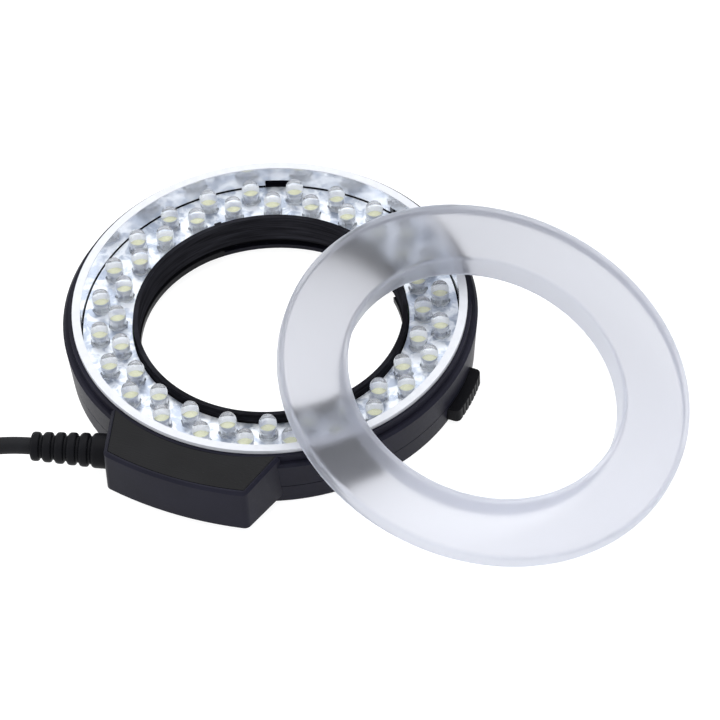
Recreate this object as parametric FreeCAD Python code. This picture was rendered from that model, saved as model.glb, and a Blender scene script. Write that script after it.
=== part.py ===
import FreeCAD, Part
import math
import os

# Macro ring flash: a flat round head with 48 lamps that clamps onto an adapter ring
# in front of a lens, its lead, and the diffuser that was taken off and leans on it.
# Millimetres. The origin is on the optical axis in the plane of the rear face, +Z is
# the way the light leaves, the electronics block is at -Y and the two release buttons
# are at +X and -X.

V = FreeCAD.Vector
ORIGIN = V(0, 0, 0)
UP = V(0, 0, 1)

# Clearances
running_gap = 0.3
wall_gap = 0.1
press_gap = 0.05

# Inner barrel
barrel_bore_radius = 37.0
barrel_wall = 1.3
barrel_drop = 4.2
barrel_flange_width = 4.0
barrel_flange_height = 1.9
barrel_nub_length = 2.0
barrel_nub_size = 0.6
barrel_nub_angle = 136

# Lamps
lamps_in_row = 24
lamp_radius = 2.5
lamp_height = 9.1
lamp_dome_height = 2.2
lamp_tip_radius = 1.2
lamp_sides = 8
hole_sides = 8
inner_row_offset = 4.3
row_spacing = 5.15
outer_row_margin = 4.95
lamp_drop = 0.2

# Light chamber
rim_thickness = 1.2
rim_width = 2.3
reflector_wall = 1.2
tray_thickness = 1.2
tray_margin = 0.3
board_thickness = 1.6
board_rest = 1.2
shelf_thickness = 0.8
shelf_width = 4.2
drain_width = 7.4
drain_height = 2.4
drain_offset_angle = 21

# Head shell
floor_thickness = 1.4
lip_wall = 1.0
lip_drop = 1.2
ledge_width = 1.7
ledge_drop = 3.5
side_draft = 1.3
rear_bore_step = 2.9
rear_edge_bevel = 0.6
ledge_edge_bevel = 0.7
seam_bevel = 0.25

# Adapter latch: two flat slides, one over the other, pushed by opposite buttons
slide_thickness = 1.7
slide_margin = 2.8
slide_flat_margin = 4.7
slide_opening_step = 1.3
slide_travel = 2.2
claw_bite = 0.2
claw_half_angle = 45
claw_lead_in = 1.7
claw_straight = 1.9
claw_root_overlap = 1.3
rail_half_length = 15.0
retainer_thickness = 1.0
retainer_step = 1.0

# Release buttons
button_stand = 2.3
button_half_width = 8.4
button_height = 4.1
button_shoulder = 1.1
button_shoulder_depth = 2.0
button_end_round = 1.6
button_grooves = 7
button_groove_pitch = 1.9
button_groove_depth = 0.4
button_groove_flare = 0.64
prong_half_width = 7.0
prong_length = 3.0
prong_stand = 1.0

# Return springs
spring_radius = 2.0
spring_wire = 0.5
spring_length = 6.7
spring_seat_depth = 1.3
post_thickness = 1.4
post_half_width = 2.5
slot_gap = 0.4

# Electronics block
block_inner_half_width = 25.0
block_outer_half_width = 21.0
block_depth = 7.8
block_bottom = 2.4
block_bulge = 2.2
block_wall = 1.8
block_screen = 0.8
block_top_drop = 0.8
block_top_fall = 1.2
block_corner_round = 2.0
block_foot_bevel = 1.0
block_rim_bevel = 0.8
plate_thickness = 0.8
plate_border = 1.1
plate_gap = 0.15

# Driver board in the block
driver_length = 18.6
driver_height = 10.0
driver_thickness = 1.2
driver_lift = 0.5
chip_size = 3.6
chip_thickness = 1.3
capacitor_radius = 1.2
capacitor_length = 3.6
capacitor_spacing = 7.0
capacitor_sides = 10
wire_radius = 0.5
wire_sides = 6
wire_pitch = 2.5
wire_window_width = 8.0
core_landing = 4.1

# Screws
screw_head_radius = 1.8
screw_head_height = 1.2
screw_radius = 0.95
screw_length = 8.4
screw_sides = 12
screw_column_radius = 3.0
ring_screw_x = 8.0
ring_screw_margin = 2.9
block_screw_x = 12.5
block_screw_margin = 2.8
boss_wall = 1.0

# Strain relief
relief_height = 9.6
relief_stand = 0.35
relief_collar_radius = 4.85
relief_collar_length = 4.7
relief_ribs = 5
relief_rib_pitch = 3.4
relief_rib_shoulder = 0.3
relief_groove_length = 0.8
relief_groove_radius = 3.5
relief_end_radius = 4.05
relief_neck_radius = 3.0
relief_flange_radius = 3.4
relief_flange_length = 0.9
relief_sides = 12

# Lead, with the steps of its route from the end of the strain relief and from the coil
cord_diameter = 4.8
cord_sides = 6
cord_rest_gap = 0.1
lead_run_out = 7.0
lead_dip = (-10.3, -3.8, -2.6)
lead_fall = (-22.9, -6.5, -5.6)
lead_touch = (-35.9, -8.1)
lead_rest = (-47.9, -8.5)
coil_start_radius = 28.5
coil_turn_gap = 0.5
coil_turns = 2.25
coil_climb_start = 1.0
coil_climb_turns = 0.5
tail_run_out = 13.0
tail_dip = (-0.9, 13.0, -1.4)
tail_touch = (-0.7, 26.0)
tail_rest = (0.2, 37.0)

# Plug
plug_radius = 4.5
plug_length = 21.0
plug_tail_radius = 3.2
plug_tail_flare = 0.5
plug_tail_length = 7.0
plug_edge_bevel = 1.0
plug_pin_radius = 1.75
plug_pin_length = 14.0
plug_tip_length = 2.4
plug_ring_groove = 0.35
plug_sides = 12

# Diffuser
diffuser_outer_step = 0.2
diffuser_bore_step = 0.3
diffuser_wall = 1.2
diffuser_skirt_height = 4.6
diffuser_inner_height = 8.0
diffuser_edge_bevel = 0.7
lean_stand = 9.9
lean_bearing = -5.3
lean_downhill = -7.5
lean_table_gap = 0.1
lean_rest_gap = 0.35

# Radii from the lens opening outwards
barrel_radius = barrel_bore_radius + barrel_wall
inner_row_radius = barrel_radius + inner_row_offset
outer_row_radius = inner_row_radius + row_spacing
reflector_radius = outer_row_radius + outer_row_margin
rim_radius = reflector_radius + rim_width
lip_bore_radius = rim_radius + wall_gap
lip_radius = lip_bore_radius + lip_wall
front_radius = lip_radius + ledge_width
rear_radius = front_radius - side_draft
shell_bore_radius = lip_bore_radius + wall_gap
shelf_bore_radius = shell_bore_radius - shelf_width
board_bore_radius = barrel_radius + 2 * wall_gap
board_radius = shelf_bore_radius + board_rest
tray_bore_radius = barrel_radius + 4 * wall_gap
tray_radius = reflector_radius - tray_margin
rear_bore_radius = barrel_bore_radius + rear_bore_step
claw_radius = barrel_bore_radius - claw_bite
slide_opening_radius = rear_bore_radius + slide_opening_step
slide_radius = shell_bore_radius - slide_margin
slide_flat = shell_bore_radius - slide_flat_margin
retainer_bore_radius = barrel_bore_radius + retainer_step

# Heights from the rear face up
slide_low = floor_thickness + running_gap
slide_high = slide_low + slide_thickness + running_gap
slide_top = slide_high + slide_thickness
retainer_bottom = slide_top + running_gap
retainer_top = retainer_bottom + retainer_thickness
parting_height = retainer_top + wall_gap
board_bottom = retainer_top + barrel_flange_height
board_top = board_bottom + board_thickness
shelf_top = board_top + shelf_thickness
tray_bottom = shelf_top
tray_top = tray_bottom + tray_thickness
rim_height = board_top + lamp_height + lamp_drop
barrel_height = rim_height - barrel_drop
ledge_height = rim_height - ledge_drop
lip_height = rim_height - lip_drop

# Places that follow
button_radius = front_radius + button_stand
button_bottom = slide_low
button_top = button_bottom + button_height
button_window_top = button_top + running_gap
shoulder_half_width = button_half_width + button_shoulder
shoulder_radius = shell_bore_radius - running_gap
shoulder_inner = shoulder_radius - button_shoulder_depth
slide_clear_x = shoulder_inner - 2 * slide_travel - 6 * running_gap
prong_reach = rear_radius + prong_stand
slot_half_width = post_half_width + slot_gap
spring_seat_reach = shoulder_inner - spring_seat_depth
post_outer_x = spring_seat_reach - spring_length
post_inner_x = post_outer_x - post_thickness
spring_axis_height = (slide_low + slide_top) / 2 + press_gap
ring_screw_y = shell_bore_radius - ring_screw_margin
block_inner_reach = math.sqrt(rear_radius ** 2 - block_inner_half_width ** 2) + running_gap
block_outer_reach = front_radius + block_depth
block_top_inner = rim_height - block_top_drop
block_top_outer = block_top_inner - block_top_fall
block_screw_y = block_outer_reach - block_screw_margin
driver_reach = block_outer_reach - block_wall
driver_bottom = block_bottom + floor_thickness + driver_lift
relief_side_reach = front_radius + relief_stand
cord_radius = cord_diameter / 2
coil_base = cord_radius + cord_rest_gap
coil_pitch = cord_diameter + coil_turn_gap
plug_axis_height = plug_radius + cord_rest_gap
diffuser_outer_radius = front_radius - diffuser_outer_step
diffuser_bore_radius = barrel_radius + diffuser_bore_step
lean_distance = front_radius + lean_stand


def polar(radius, degrees, height=0.0):
    """Point at a radius and bearing about the optical axis."""
    turn = math.radians(degrees)
    return V(radius * math.cos(turn), radius * math.sin(turn), height)


def wall_radius(height):
    """Outer radius of the drafted side wall at a height."""
    return rear_radius + (front_radius - rear_radius) * height / ledge_height


def rounded_corner(before, corner, after, radius):
    """Start, middle and end of the arc that rounds a corner."""
    back = (before - corner).normalize()
    ahead = (after - corner).normalize()
    half = back.getAngle(ahead) / 2
    reach = radius / math.tan(half)
    inward = (back + ahead).normalize()
    middle = corner + inward * (radius / math.sin(half) - radius)
    return corner + back * reach, middle, corner + ahead * reach


def outline(corners, place):
    """Closed face through corners (u, v) or (u, v, rounding radius)."""
    points = [place(corner[0], corner[1]) for corner in corners]
    edges = []
    ends = []
    for index, corner in enumerate(corners):
        before = points[index - 1]
        after = points[(index + 1) % len(points)]
        if len(corner) == 3:
            start, middle, end = rounded_corner(before, points[index], after, corner[2])
            ends.append((start, end))
            edges.append(Part.Arc(start, middle, end).toShape())
        else:
            ends.append((points[index], points[index]))
            edges.append(None)
    loop = []
    for index, arc in enumerate(edges):
        if arc is not None:
            loop.append(arc)
        leave = ends[index][1]
        reach = ends[(index + 1) % len(ends)][0]
        loop.append(Part.LineSegment(leave, reach).toShape())
    return Part.Face(Part.Wire(loop))


def turned(corners):
    """Solid of revolution about the optical axis from a radius and height profile."""
    face = outline(corners, lambda radius, height: V(radius, 0, height))
    return face.revolve(ORIGIN, UP, 360)


def prism(corners, bottom, top):
    """Upright prism on a plan outline."""
    face = outline(corners, lambda x, y: V(x, y, bottom))
    return face.extrude(V(0, 0, top - bottom))


def block(low, high):
    """Box between two opposite corners."""
    size = high - low
    return Part.makeBox(size.x, size.y, size.z, low)


def column(radius, bottom, top, x=0.0, y=0.0):
    """Upright cylinder."""
    return Part.makeCylinder(radius, top - bottom, V(x, y, bottom))


def aimed(shape, start, direction):
    """Move a shape that was made along +Z so that it starts at a point and runs that way."""
    placed = shape.copy()
    placed.Placement = FreeCAD.Placement(start, FreeCAD.Rotation(UP, direction))
    return placed


def polygon(radius, sides, x, y, turn):
    """Corners of a regular polygon."""
    corners = []
    for index in range(sides):
        angle = turn + 2 * math.pi * (index + 0.5) / sides
        corners.append((x + radius * math.cos(angle), y + radius * math.sin(angle)))
    return corners


def mirrored_across_x(shape):
    """The same piece for the opposite button."""
    return shape.mirror(ORIGIN, V(1, 0, 0))


# Electronics block, shared shapes

def block_plan(inset):
    """Plan wire of the block, drawn in by an inset."""
    inner_y = -block_inner_reach + inset
    outer_y = -block_outer_reach + inset
    lean = (block_inner_half_width - block_outer_half_width) / (block_outer_reach - block_inner_reach)
    side_inset = inset * math.sqrt(1 + lean * lean)
    inner_x = block_inner_half_width - side_inset + lean * inset
    outer_x = block_outer_half_width - side_inset + lean * inset
    crown = V(0, outer_y - block_bulge, 0)
    right_inner = V(inner_x, inner_y, 0)
    right_outer = V(outer_x, outer_y, 0)
    left_outer = V(-outer_x, outer_y, 0)
    left_inner = V(-inner_x, inner_y, 0)
    edges = [
        Part.LineSegment(right_inner, right_outer).toShape(),
        Part.Arc(right_outer, crown, left_outer).toShape(),
        Part.LineSegment(left_outer, left_inner).toShape(),
        Part.LineSegment(left_inner, right_inner).toShape(),
    ]
    return Part.Wire(edges)


def block_body(inset, bottom, top):
    """Upright solid on the plan of the block."""
    face = Part.Face(block_plan(inset))
    face.translate(V(0, 0, bottom))
    return face.extrude(V(0, 0, top - bottom))


def block_slope(y):
    """Height of the sloping top of the block."""
    fall = (block_top_inner - block_top_outer) / (block_outer_reach - block_inner_reach)
    return block_top_inner + (y + block_inner_reach) * fall


def above_slope(drop):
    """Everything above the sloping top, lowered by a drop."""
    near_y = -shelf_bore_radius
    far_y = -2 * block_outer_reach
    high = 2 * rim_height
    points = [
        V(0, near_y, block_slope(near_y) - drop),
        V(0, far_y, block_slope(far_y) - drop),
        V(0, far_y, high),
        V(0, near_y, high),
    ]
    face = Part.Face(Part.makePolygon(points + [points[0]]))
    face.translate(V(-2 * block_inner_half_width, 0, 0))
    return face.extrude(V(4 * block_inner_half_width, 0, 0))


def head_envelope(growth, lip_growth):
    """The round head with its ledge and lip, grown outwards, for cutting the block to it."""
    high = 2 * rim_height
    return turned([
        (0, -floor_thickness),
        (wall_radius(-floor_thickness) + growth, -floor_thickness),
        (front_radius + growth, ledge_height - ledge_edge_bevel),
        (front_radius + growth, ledge_height + growth),
        (lip_radius + lip_growth, ledge_height + growth),
        (lip_radius + lip_growth, high),
        (0, high),
    ])


def upright_edges(shape, low_y):
    """Straight upright edges on the far side of the block."""
    found = []
    for edge in shape.Edges:
        ends = [vertex.Point for vertex in edge.Vertexes]
        if len(ends) != 2:
            continue
        level = abs(ends[0].x - ends[1].x) + abs(ends[0].y - ends[1].y)
        if level < 1e-6 and ends[0].y < low_y:
            found.append(edge)
    return found


def level_edges(shape, height_at):
    """Edges of the block's outer sides that lie at a height given by y."""
    found = []
    clear = front_radius + 2 * wall_gap
    for edge in shape.Edges:
        middle = edge.valueAt((edge.FirstParameter + edge.LastParameter) / 2)
        points = [vertex.Point for vertex in edge.Vertexes] + [middle]
        at_height = all(abs(point.z - height_at(point.y)) < 1e-4 for point in points)
        on_side = math.hypot(middle.x, middle.y) > clear and middle.y < 0
        if at_height and on_side:
            found.append(edge)
    return found


def relief_axis():
    """Point on the left side of the block and the direction that the lead leaves in."""
    side = V(
        block_outer_half_width - block_inner_half_width,
        block_outer_reach - block_inner_reach,
        0,
    )
    direction = V(-side.y, side.x, 0).normalize()
    along = (relief_side_reach - block_inner_reach) / (block_outer_reach - block_inner_reach)
    start = V(-block_inner_half_width - side.x * along, -relief_side_reach, relief_height)
    return start, direction


def relief_length():
    """Length of the strain relief outside the block."""
    return relief_collar_length + relief_ribs * relief_rib_pitch


def ring_screws():
    """Plan positions of the two screws in the ring, on the side away from the block."""
    return [(side * ring_screw_x, ring_screw_y) for side in (1, -1)]


def block_screws():
    """Plan positions of the two screws in the block."""
    return [(side * block_screw_x, -block_screw_y) for side in (1, -1)]


def screw_hole(x, y, base):
    """Clear hole for a screw with a sunk seat for its head."""
    hole = column(screw_radius + wall_gap, base - 1, parting_height + 1, x, y)
    seat_top = base + screw_head_height + press_gap
    return hole.fuse(column(screw_head_radius + wall_gap, base - 1, seat_top, x, y))


# Rear cover

def rear_cover():
    """Floor with the adapter bore, side wall, rails, spring posts and the rear of the block."""
    shell = turned([
        (rear_bore_radius, 0),
        (rear_radius - rear_edge_bevel, 0),
        (wall_radius(rear_edge_bevel), rear_edge_bevel),
        (wall_radius(parting_height), parting_height),
        (shell_bore_radius, parting_height),
        (shell_bore_radius, floor_thickness),
        (rear_bore_radius, floor_thickness),
    ])
    inside = column(shell_bore_radius + wall_gap, 0, retainer_bottom)
    rail_inner = slide_flat + running_gap
    for side in (1, -1):
        strip = block(
            V(-rail_half_length, rail_inner, floor_thickness / 2),
            V(rail_half_length, rear_radius, retainer_bottom),
        )
        if side < 0:
            strip = strip.mirror(ORIGIN, V(0, 1, 0))
        shell = shell.fuse(strip.common(inside))
    for side in (1, -1):
        post = block(
            V(post_inner_x, -post_half_width, floor_thickness / 2),
            V(post_outer_x, post_half_width, slide_top),
        )
        if side < 0:
            post = mirrored_across_x(post)
        shell = shell.fuse(post)
    for side in (1, -1):
        window = block(
            V(slide_radius, -button_half_width - running_gap, floor_thickness),
            V(button_radius, button_half_width + running_gap, button_window_top),
        )
        if side < 0:
            window = mirrored_across_x(window)
        shell = shell.cut(window)
    shell = shell.fuse(block_rear())
    for x, y in ring_screws():
        shell = shell.cut(screw_hole(x, y, 0))
    for x, y in block_screws():
        shell = shell.cut(screw_hole(x, y, block_bottom))
    return shell.removeSplitter()


def block_rear():
    """Lower half of the block, a tray that belongs to the rear cover."""
    body = block_body(0, block_bottom, parting_height)
    body = body.makeFillet(block_corner_round, upright_edges(body, -block_inner_reach - 1))
    body = body.makeChamfer(block_foot_bevel, level_edges(body, lambda y: block_bottom))
    hollow = block_body(block_wall, block_bottom + floor_thickness, parting_height + 1)
    keep = head_envelope(-press_gap, -press_gap)
    wall = head_envelope(block_screen, block_screen)
    hollow = hollow.cut(wall)
    body = body.cut(keep.common(column(shell_bore_radius + wall_gap, -2, 2 * rim_height)))
    body = body.cut(hollow)
    for x, y in block_screws():
        low = block_bottom + floor_thickness / 2
        body = body.fuse(column(screw_column_radius, low, parting_height, x, y))
    start, direction = relief_axis()
    neck = Part.makeCylinder(relief_neck_radius + press_gap, 2 * block_wall + 2)
    body = body.cut(aimed(neck, start - direction * (block_wall + 1), direction))
    return body


# Front housing and light chamber

def front_housing():
    """Drafted side wall with the ledge and lip, and the shelf that carries the light chamber."""
    base = parting_height + seam_bevel
    shell = turned([
        (wall_radius(parting_height) - seam_bevel, parting_height),
        (wall_radius(base), base),
        (front_radius, ledge_height - ledge_edge_bevel),
        (front_radius - ledge_edge_bevel, ledge_height),
        (lip_radius, ledge_height),
        (lip_radius, lip_height),
        (lip_bore_radius, lip_height),
        (lip_bore_radius, shelf_top),
        (shelf_bore_radius, shelf_top),
        (shelf_bore_radius, board_top),
        (shell_bore_radius, board_top),
        (shell_bore_radius, parting_height),
    ])
    inside = column(shell_bore_radius + wall_gap, 0, ledge_height)
    for x, y in ring_screws():
        boss = column(screw_radius + boss_wall, retainer_top, board_top, x, y)
        shell = shell.fuse(boss.common(inside))
        shell = shell.cut(column(screw_radius, retainer_top - 1, screw_length + wall_gap, x, y))
    window = block(
        V(-wire_window_width / 2, -front_radius - 1, board_bottom),
        V(wire_window_width / 2, -board_radius, board_top),
    )
    return shell.cut(window).removeSplitter()


def inner_barrel():
    """Black tube round the lens opening, clamped by its flange under the lamp board."""
    flange_radius = barrel_bore_radius + barrel_flange_width
    tube = turned([
        (barrel_bore_radius, retainer_top),
        (flange_radius, retainer_top),
        (flange_radius, board_bottom),
        (barrel_radius, board_bottom),
        (barrel_radius, barrel_height),
        (barrel_bore_radius, barrel_height),
    ])
    for bearing in (barrel_nub_angle, barrel_nub_angle + 180):
        nub = block(
            V(barrel_radius - 2 * barrel_nub_size, -barrel_nub_length / 2, tray_top),
            V(barrel_radius + barrel_nub_size, barrel_nub_length / 2, barrel_height),
        )
        nub.rotate(ORIGIN, UP, bearing)
        nub = nub.cut(column(barrel_radius - barrel_nub_size, 0, rim_height))
        tube = tube.fuse(nub)
    return tube.removeSplitter()


def reflector_ring():
    """Bright wall and white rim round the lamps, on the shelf, with four drain notches."""
    outer_wall = reflector_radius + reflector_wall
    ring = turned([
        (reflector_radius, shelf_top),
        (outer_wall, shelf_top),
        (outer_wall, rim_height - rim_thickness),
        (rim_radius, rim_height - rim_thickness),
        (rim_radius, rim_height),
        (reflector_radius, rim_height),
    ])
    for bearing in (90, 270):
        for side in (1, -1):
            notch = block(
                V(tray_radius, -drain_width / 2, 0),
                V(outer_wall + 1, drain_width / 2, tray_top + drain_height),
            )
            notch.rotate(ORIGIN, UP, bearing + side * drain_offset_angle)
            ring = ring.cut(notch)
    return ring


def lamp_places():
    """Plan position and bearing of each lamp, by row."""
    step = 360 / lamps_in_row
    inner = [(inner_row_radius, step * (index + 0.5)) for index in range(lamps_in_row)]
    outer = [(outer_row_radius, step * index) for index in range(lamps_in_row)]
    return inner, outer


def led_tray():
    """Silvered floor with a hole for each lamp, resting on the shelf of the housing."""
    tray = column(tray_radius, tray_bottom, tray_top)
    tray = tray.cut(column(tray_bore_radius, 0, rim_height))
    across = (lamp_radius + wall_gap) / math.cos(math.pi / hole_sides)
    holes = []
    for row in lamp_places():
        for radius, bearing in row:
            spot = polar(radius, bearing)
            corners = polygon(across, hole_sides, spot.x, spot.y, math.radians(bearing))
            holes.append(prism(corners, tray_bottom - 1, tray_top + 1))
    return tray.cut(Part.makeCompound(holes))


def led_board():
    """Round board that carries both rows of lamps, notched for the screw bosses."""
    board = column(board_radius, board_bottom, board_top)
    board = board.cut(column(board_bore_radius, 0, rim_height))
    notch_radius = screw_radius + boss_wall + running_gap
    for x, y in ring_screws():
        board = board.cut(column(notch_radius, 0, rim_height, x, y))
    return board


def faceted(rings):
    """Solid with flat facets through rings of corners, one above the other."""
    faces = [Part.Face(Part.makePolygon(ring + ring[:1])) for ring in (rings[0], rings[-1])]
    for low, high in zip(rings, rings[1:]):
        for index in range(len(low)):
            sides = [low[index - 1], low[index], high[index], high[index - 1]]
            faces.append(Part.Face(Part.makePolygon(sides + sides[:1])))
    return Part.Solid(Part.Shell(faces))


def banded(profile, sides, start, way):
    """Solid with flat sides through radii and distances along a straight axis."""
    rings = []
    for radius, along in profile:
        rings.append([V(x, y, along) for x, y in polygon(radius, sides, 0, 0, 0)])
    return aimed(faceted(rings), start, way)


def rod(radius, sides, start, end):
    """Straight rod with flat sides between two points."""
    way = end - start
    return banded([(radius, 0), (radius, way.Length)], sides, start, way)


def lamp_row(row):
    """One row of clear lamps, each a faceted post with a drawn-in top."""
    across = lamp_radius / math.cos(math.pi / lamp_sides)
    top = board_top + lamp_height
    shoulder = top - lamp_dome_height
    lamps = []
    for radius, bearing in row:
        spot = polar(radius, bearing)
        rings = []
        for size, height in ((across, board_top), (across, shoulder), (lamp_tip_radius, top)):
            corners = polygon(size, lamp_sides, spot.x, spot.y, math.radians(bearing))
            rings.append([V(x, y, height) for x, y in corners])
        lamps.append(faceted(rings))
    return Part.makeCompound(lamps)


# Adapter latch

def claw(plate_bottom, plate_top):
    """Arc-shaped claw on the -X side of the opening, joined to a slide at its own level."""
    root = slide_opening_radius + claw_root_overlap
    lead_top = slide_top - claw_straight
    inner = [
        (claw_radius, slide_top),
        (claw_radius, lead_top),
        (claw_radius + claw_lead_in, slide_low),
    ]
    back = rear_bore_radius
    if plate_bottom > slide_low:
        outer = [(back, slide_low), (back, plate_bottom), (root, plate_bottom), (root, plate_top)]
    else:
        outer = [(root, plate_bottom), (root, plate_top), (back, plate_top), (back, slide_top)]
    whole = turned(inner + outer)
    reach = slide_radius
    half = math.radians(claw_half_angle)
    sector = prism(
        [
            (0, 0),
            (-reach, reach * math.tan(half)),
            (-reach, -reach * math.tan(half)),
        ],
        0,
        slide_top + 1,
    )
    return whole.common(sector)


def latch_slide(plate_bottom):
    """Flat slide whose button is at +X and whose claw holds the adapter ring at -X."""
    plate_top = plate_bottom + slide_thickness
    plate = column(slide_radius, plate_bottom, plate_top)
    plate = plate.common(block(
        V(-slide_radius, -slide_flat, plate_bottom),
        V(slide_radius, slide_flat, plate_top),
    ))
    prongs = block(
        V(slide_radius - prong_length, -prong_half_width, plate_bottom),
        V(prong_reach, prong_half_width, plate_top),
    )
    plate = plate.fuse(prongs)
    sweep = 2 * slide_travel
    opening = column(slide_opening_radius, 0, rim_height)
    opening = opening.fuse(column(slide_opening_radius, 0, rim_height, sweep, 0))
    opening = opening.fuse(block(
        V(0, -slide_opening_radius, 0),
        V(sweep, slide_opening_radius, rim_height),
    ))
    plate = plate.cut(opening)
    plate = plate.fuse(claw(plate_bottom, plate_top))
    own_slot = block(
        V(0, -slot_half_width, 0),
        V(prong_reach + 1, slot_half_width, rim_height),
    )
    other_slot = block(
        V(-2 * slide_radius, -slot_half_width, 0),
        V(-post_inner_x + slide_travel + running_gap, slot_half_width, rim_height),
    )
    other_notch = block(
        V(-2 * slide_radius, -shoulder_half_width - running_gap, 0),
        V(-slide_clear_x, shoulder_half_width + running_gap, rim_height),
    )
    return plate.cut(own_slot).cut(other_slot).cut(other_notch).removeSplitter()


def latch_button(plate_bottom):
    """Button at +X, pushed onto the prongs of its slide, with a shoulder behind the wall."""
    half = button_half_width
    face = column(button_radius, button_bottom, button_top)
    body = block(
        V(shoulder_inner, -half, button_bottom),
        V(button_radius + 1, half, button_top),
    )
    body = body.common(face)
    body = body.makeFillet(button_end_round, button_corner_edges(body))
    shoulder = block(
        V(shoulder_inner, -shoulder_half_width, button_bottom),
        V(button_radius, shoulder_half_width, button_top),
    )
    body = body.fuse(shoulder.common(column(shoulder_radius, button_bottom, button_top)))
    seat = block(
        V(spring_seat_reach, -post_half_width, button_bottom),
        V(shoulder_inner + 1, post_half_width, slide_top),
    )
    body = body.fuse(seat)
    plate_top = plate_bottom + slide_thickness
    pocket = block(
        V(spring_seat_reach - 1, -prong_half_width - press_gap, plate_bottom - press_gap),
        V(prong_reach + press_gap, prong_half_width + press_gap, plate_top + press_gap),
    )
    bridge = block(
        V(0, -post_half_width, 0),
        V(button_radius, post_half_width, rim_height),
    )
    body = body.cut(pocket.cut(bridge))
    middle = (button_grooves - 1) / 2
    for index in range(button_grooves):
        bearing = math.degrees((index - middle) * button_groove_pitch / button_radius)
        groove = prism(
            [
                (button_radius - button_groove_depth, 0),
                (button_radius + button_groove_depth, button_groove_flare),
                (button_radius + button_groove_depth, -button_groove_flare),
            ],
            0,
            rim_height,
        )
        groove.rotate(ORIGIN, UP, bearing)
        body = body.cut(groove)
    return body.removeSplitter()


def button_corner_edges(body):
    """The two upright edges at the outer corners of a button."""
    found = []
    for edge in body.Edges:
        ends = [vertex.Point for vertex in edge.Vertexes]
        if len(ends) != 2:
            continue
        level = abs(ends[0].x - ends[1].x) + abs(ends[0].y - ends[1].y)
        if level < 1e-6 and ends[0].x > shell_bore_radius:
            found.append(edge)
    return found


def latch_retainer():
    """Thin plate that keeps both slides down, carried on the rails of the rear cover."""
    plate = column(shell_bore_radius - running_gap, retainer_bottom, retainer_top)
    plate = plate.cut(column(retainer_bore_radius, 0, rim_height))
    for side in (1, -1):
        relief = block(
            V(shoulder_inner - slide_travel - 3 * running_gap, -shoulder_half_width - running_gap, 0),
            V(rear_radius, shoulder_half_width + running_gap, rim_height),
        )
        if side < 0:
            relief = mirrored_across_x(relief)
        plate = plate.cut(relief)
    for x, y in ring_screws():
        plate = plate.cut(column(screw_radius + running_gap, 0, rim_height, x, y))
    return plate


def latch_spring():
    """Return spring at +X between its post and the button, a sleeve of the wound spring's size."""
    length = spring_length - wall_gap
    start = V(post_outer_x, 0, spring_axis_height)
    way = V(1, 0, 0)
    sleeve = Part.makeCylinder(spring_radius, length, start, way)
    return sleeve.cut(Part.makeCylinder(spring_radius - spring_wire, length, start, way))


# Electronics block

def block_housing():
    """Upper shell of the block with a sloping top, cut to the round head."""
    high = block_top_inner + 2
    body = block_body(0, parting_height, high)
    body = body.makeFillet(block_corner_round, upright_edges(body, -block_inner_reach - 1))
    body = body.cut(above_slope(0))
    body = body.makeChamfer(block_rim_bevel, level_edges(body, block_slope))
    body = body.cut(head_envelope(press_gap, plate_gap))
    hollow = block_body(block_wall, parting_height - 1, high)
    hollow = hollow.cut(above_slope(plate_thickness + block_wall / 2))
    hollow = hollow.cut(head_envelope(block_screen, block_screen))
    body = body.cut(hollow)
    recess = block_body(plate_border, parting_height, high)
    recess = recess.common(above_slope(plate_thickness))
    body = body.cut(recess)
    roof = above_slope(plate_thickness + block_wall / 2)
    screw_end = block_bottom + screw_length + wall_gap
    for x, y in block_screws():
        boss = column(screw_radius + boss_wall, parting_height, high, x, y)
        boss = boss.cut(roof)
        body = body.fuse(boss)
        body = body.cut(column(screw_radius, 0, screw_end, x, y))
    window = block(
        V(-wire_window_width / 2, -front_radius - 2, board_bottom),
        V(wire_window_width / 2, -shell_bore_radius, board_top),
    )
    body = body.cut(window)
    start, direction = relief_axis()
    neck = Part.makeCylinder(relief_neck_radius + press_gap, 2 * block_wall + 2)
    body = body.cut(aimed(neck, start - direction * (block_wall + 1), direction))
    return body.removeSplitter()


def block_plate():
    """Plain black plate let into the sloping top of the block."""
    body = block_body(plate_border + plate_gap, parting_height, block_top_inner + 2)
    body = body.common(above_slope(plate_thickness))
    body = body.cut(above_slope(0))
    return body.cut(head_envelope(press_gap, plate_gap))


def driver_board():
    """Upright board across the block."""
    return block(
        V(-driver_length / 2, -driver_reach, driver_bottom),
        V(driver_length / 2, -driver_reach + driver_thickness, driver_bottom + driver_height),
    )


def driver_parts():
    """Chip and two capacitors on the side of the board that faces the head."""
    face_y = -driver_reach + driver_thickness
    chip_bottom = board_top + wall_gap
    chip = block(
        V(-chip_size / 2, face_y, chip_bottom),
        V(chip_size / 2, face_y + chip_thickness, chip_bottom + chip_size),
    )
    parts = [chip]
    for side in (1, -1):
        start = V(side * capacitor_spacing, face_y + capacitor_radius, driver_bottom + driver_lift)
        end = start + V(0, 0, capacitor_length)
        parts.append(rod(capacitor_radius, capacitor_sides, start, end))
    return Part.makeCompound(parts)


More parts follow.
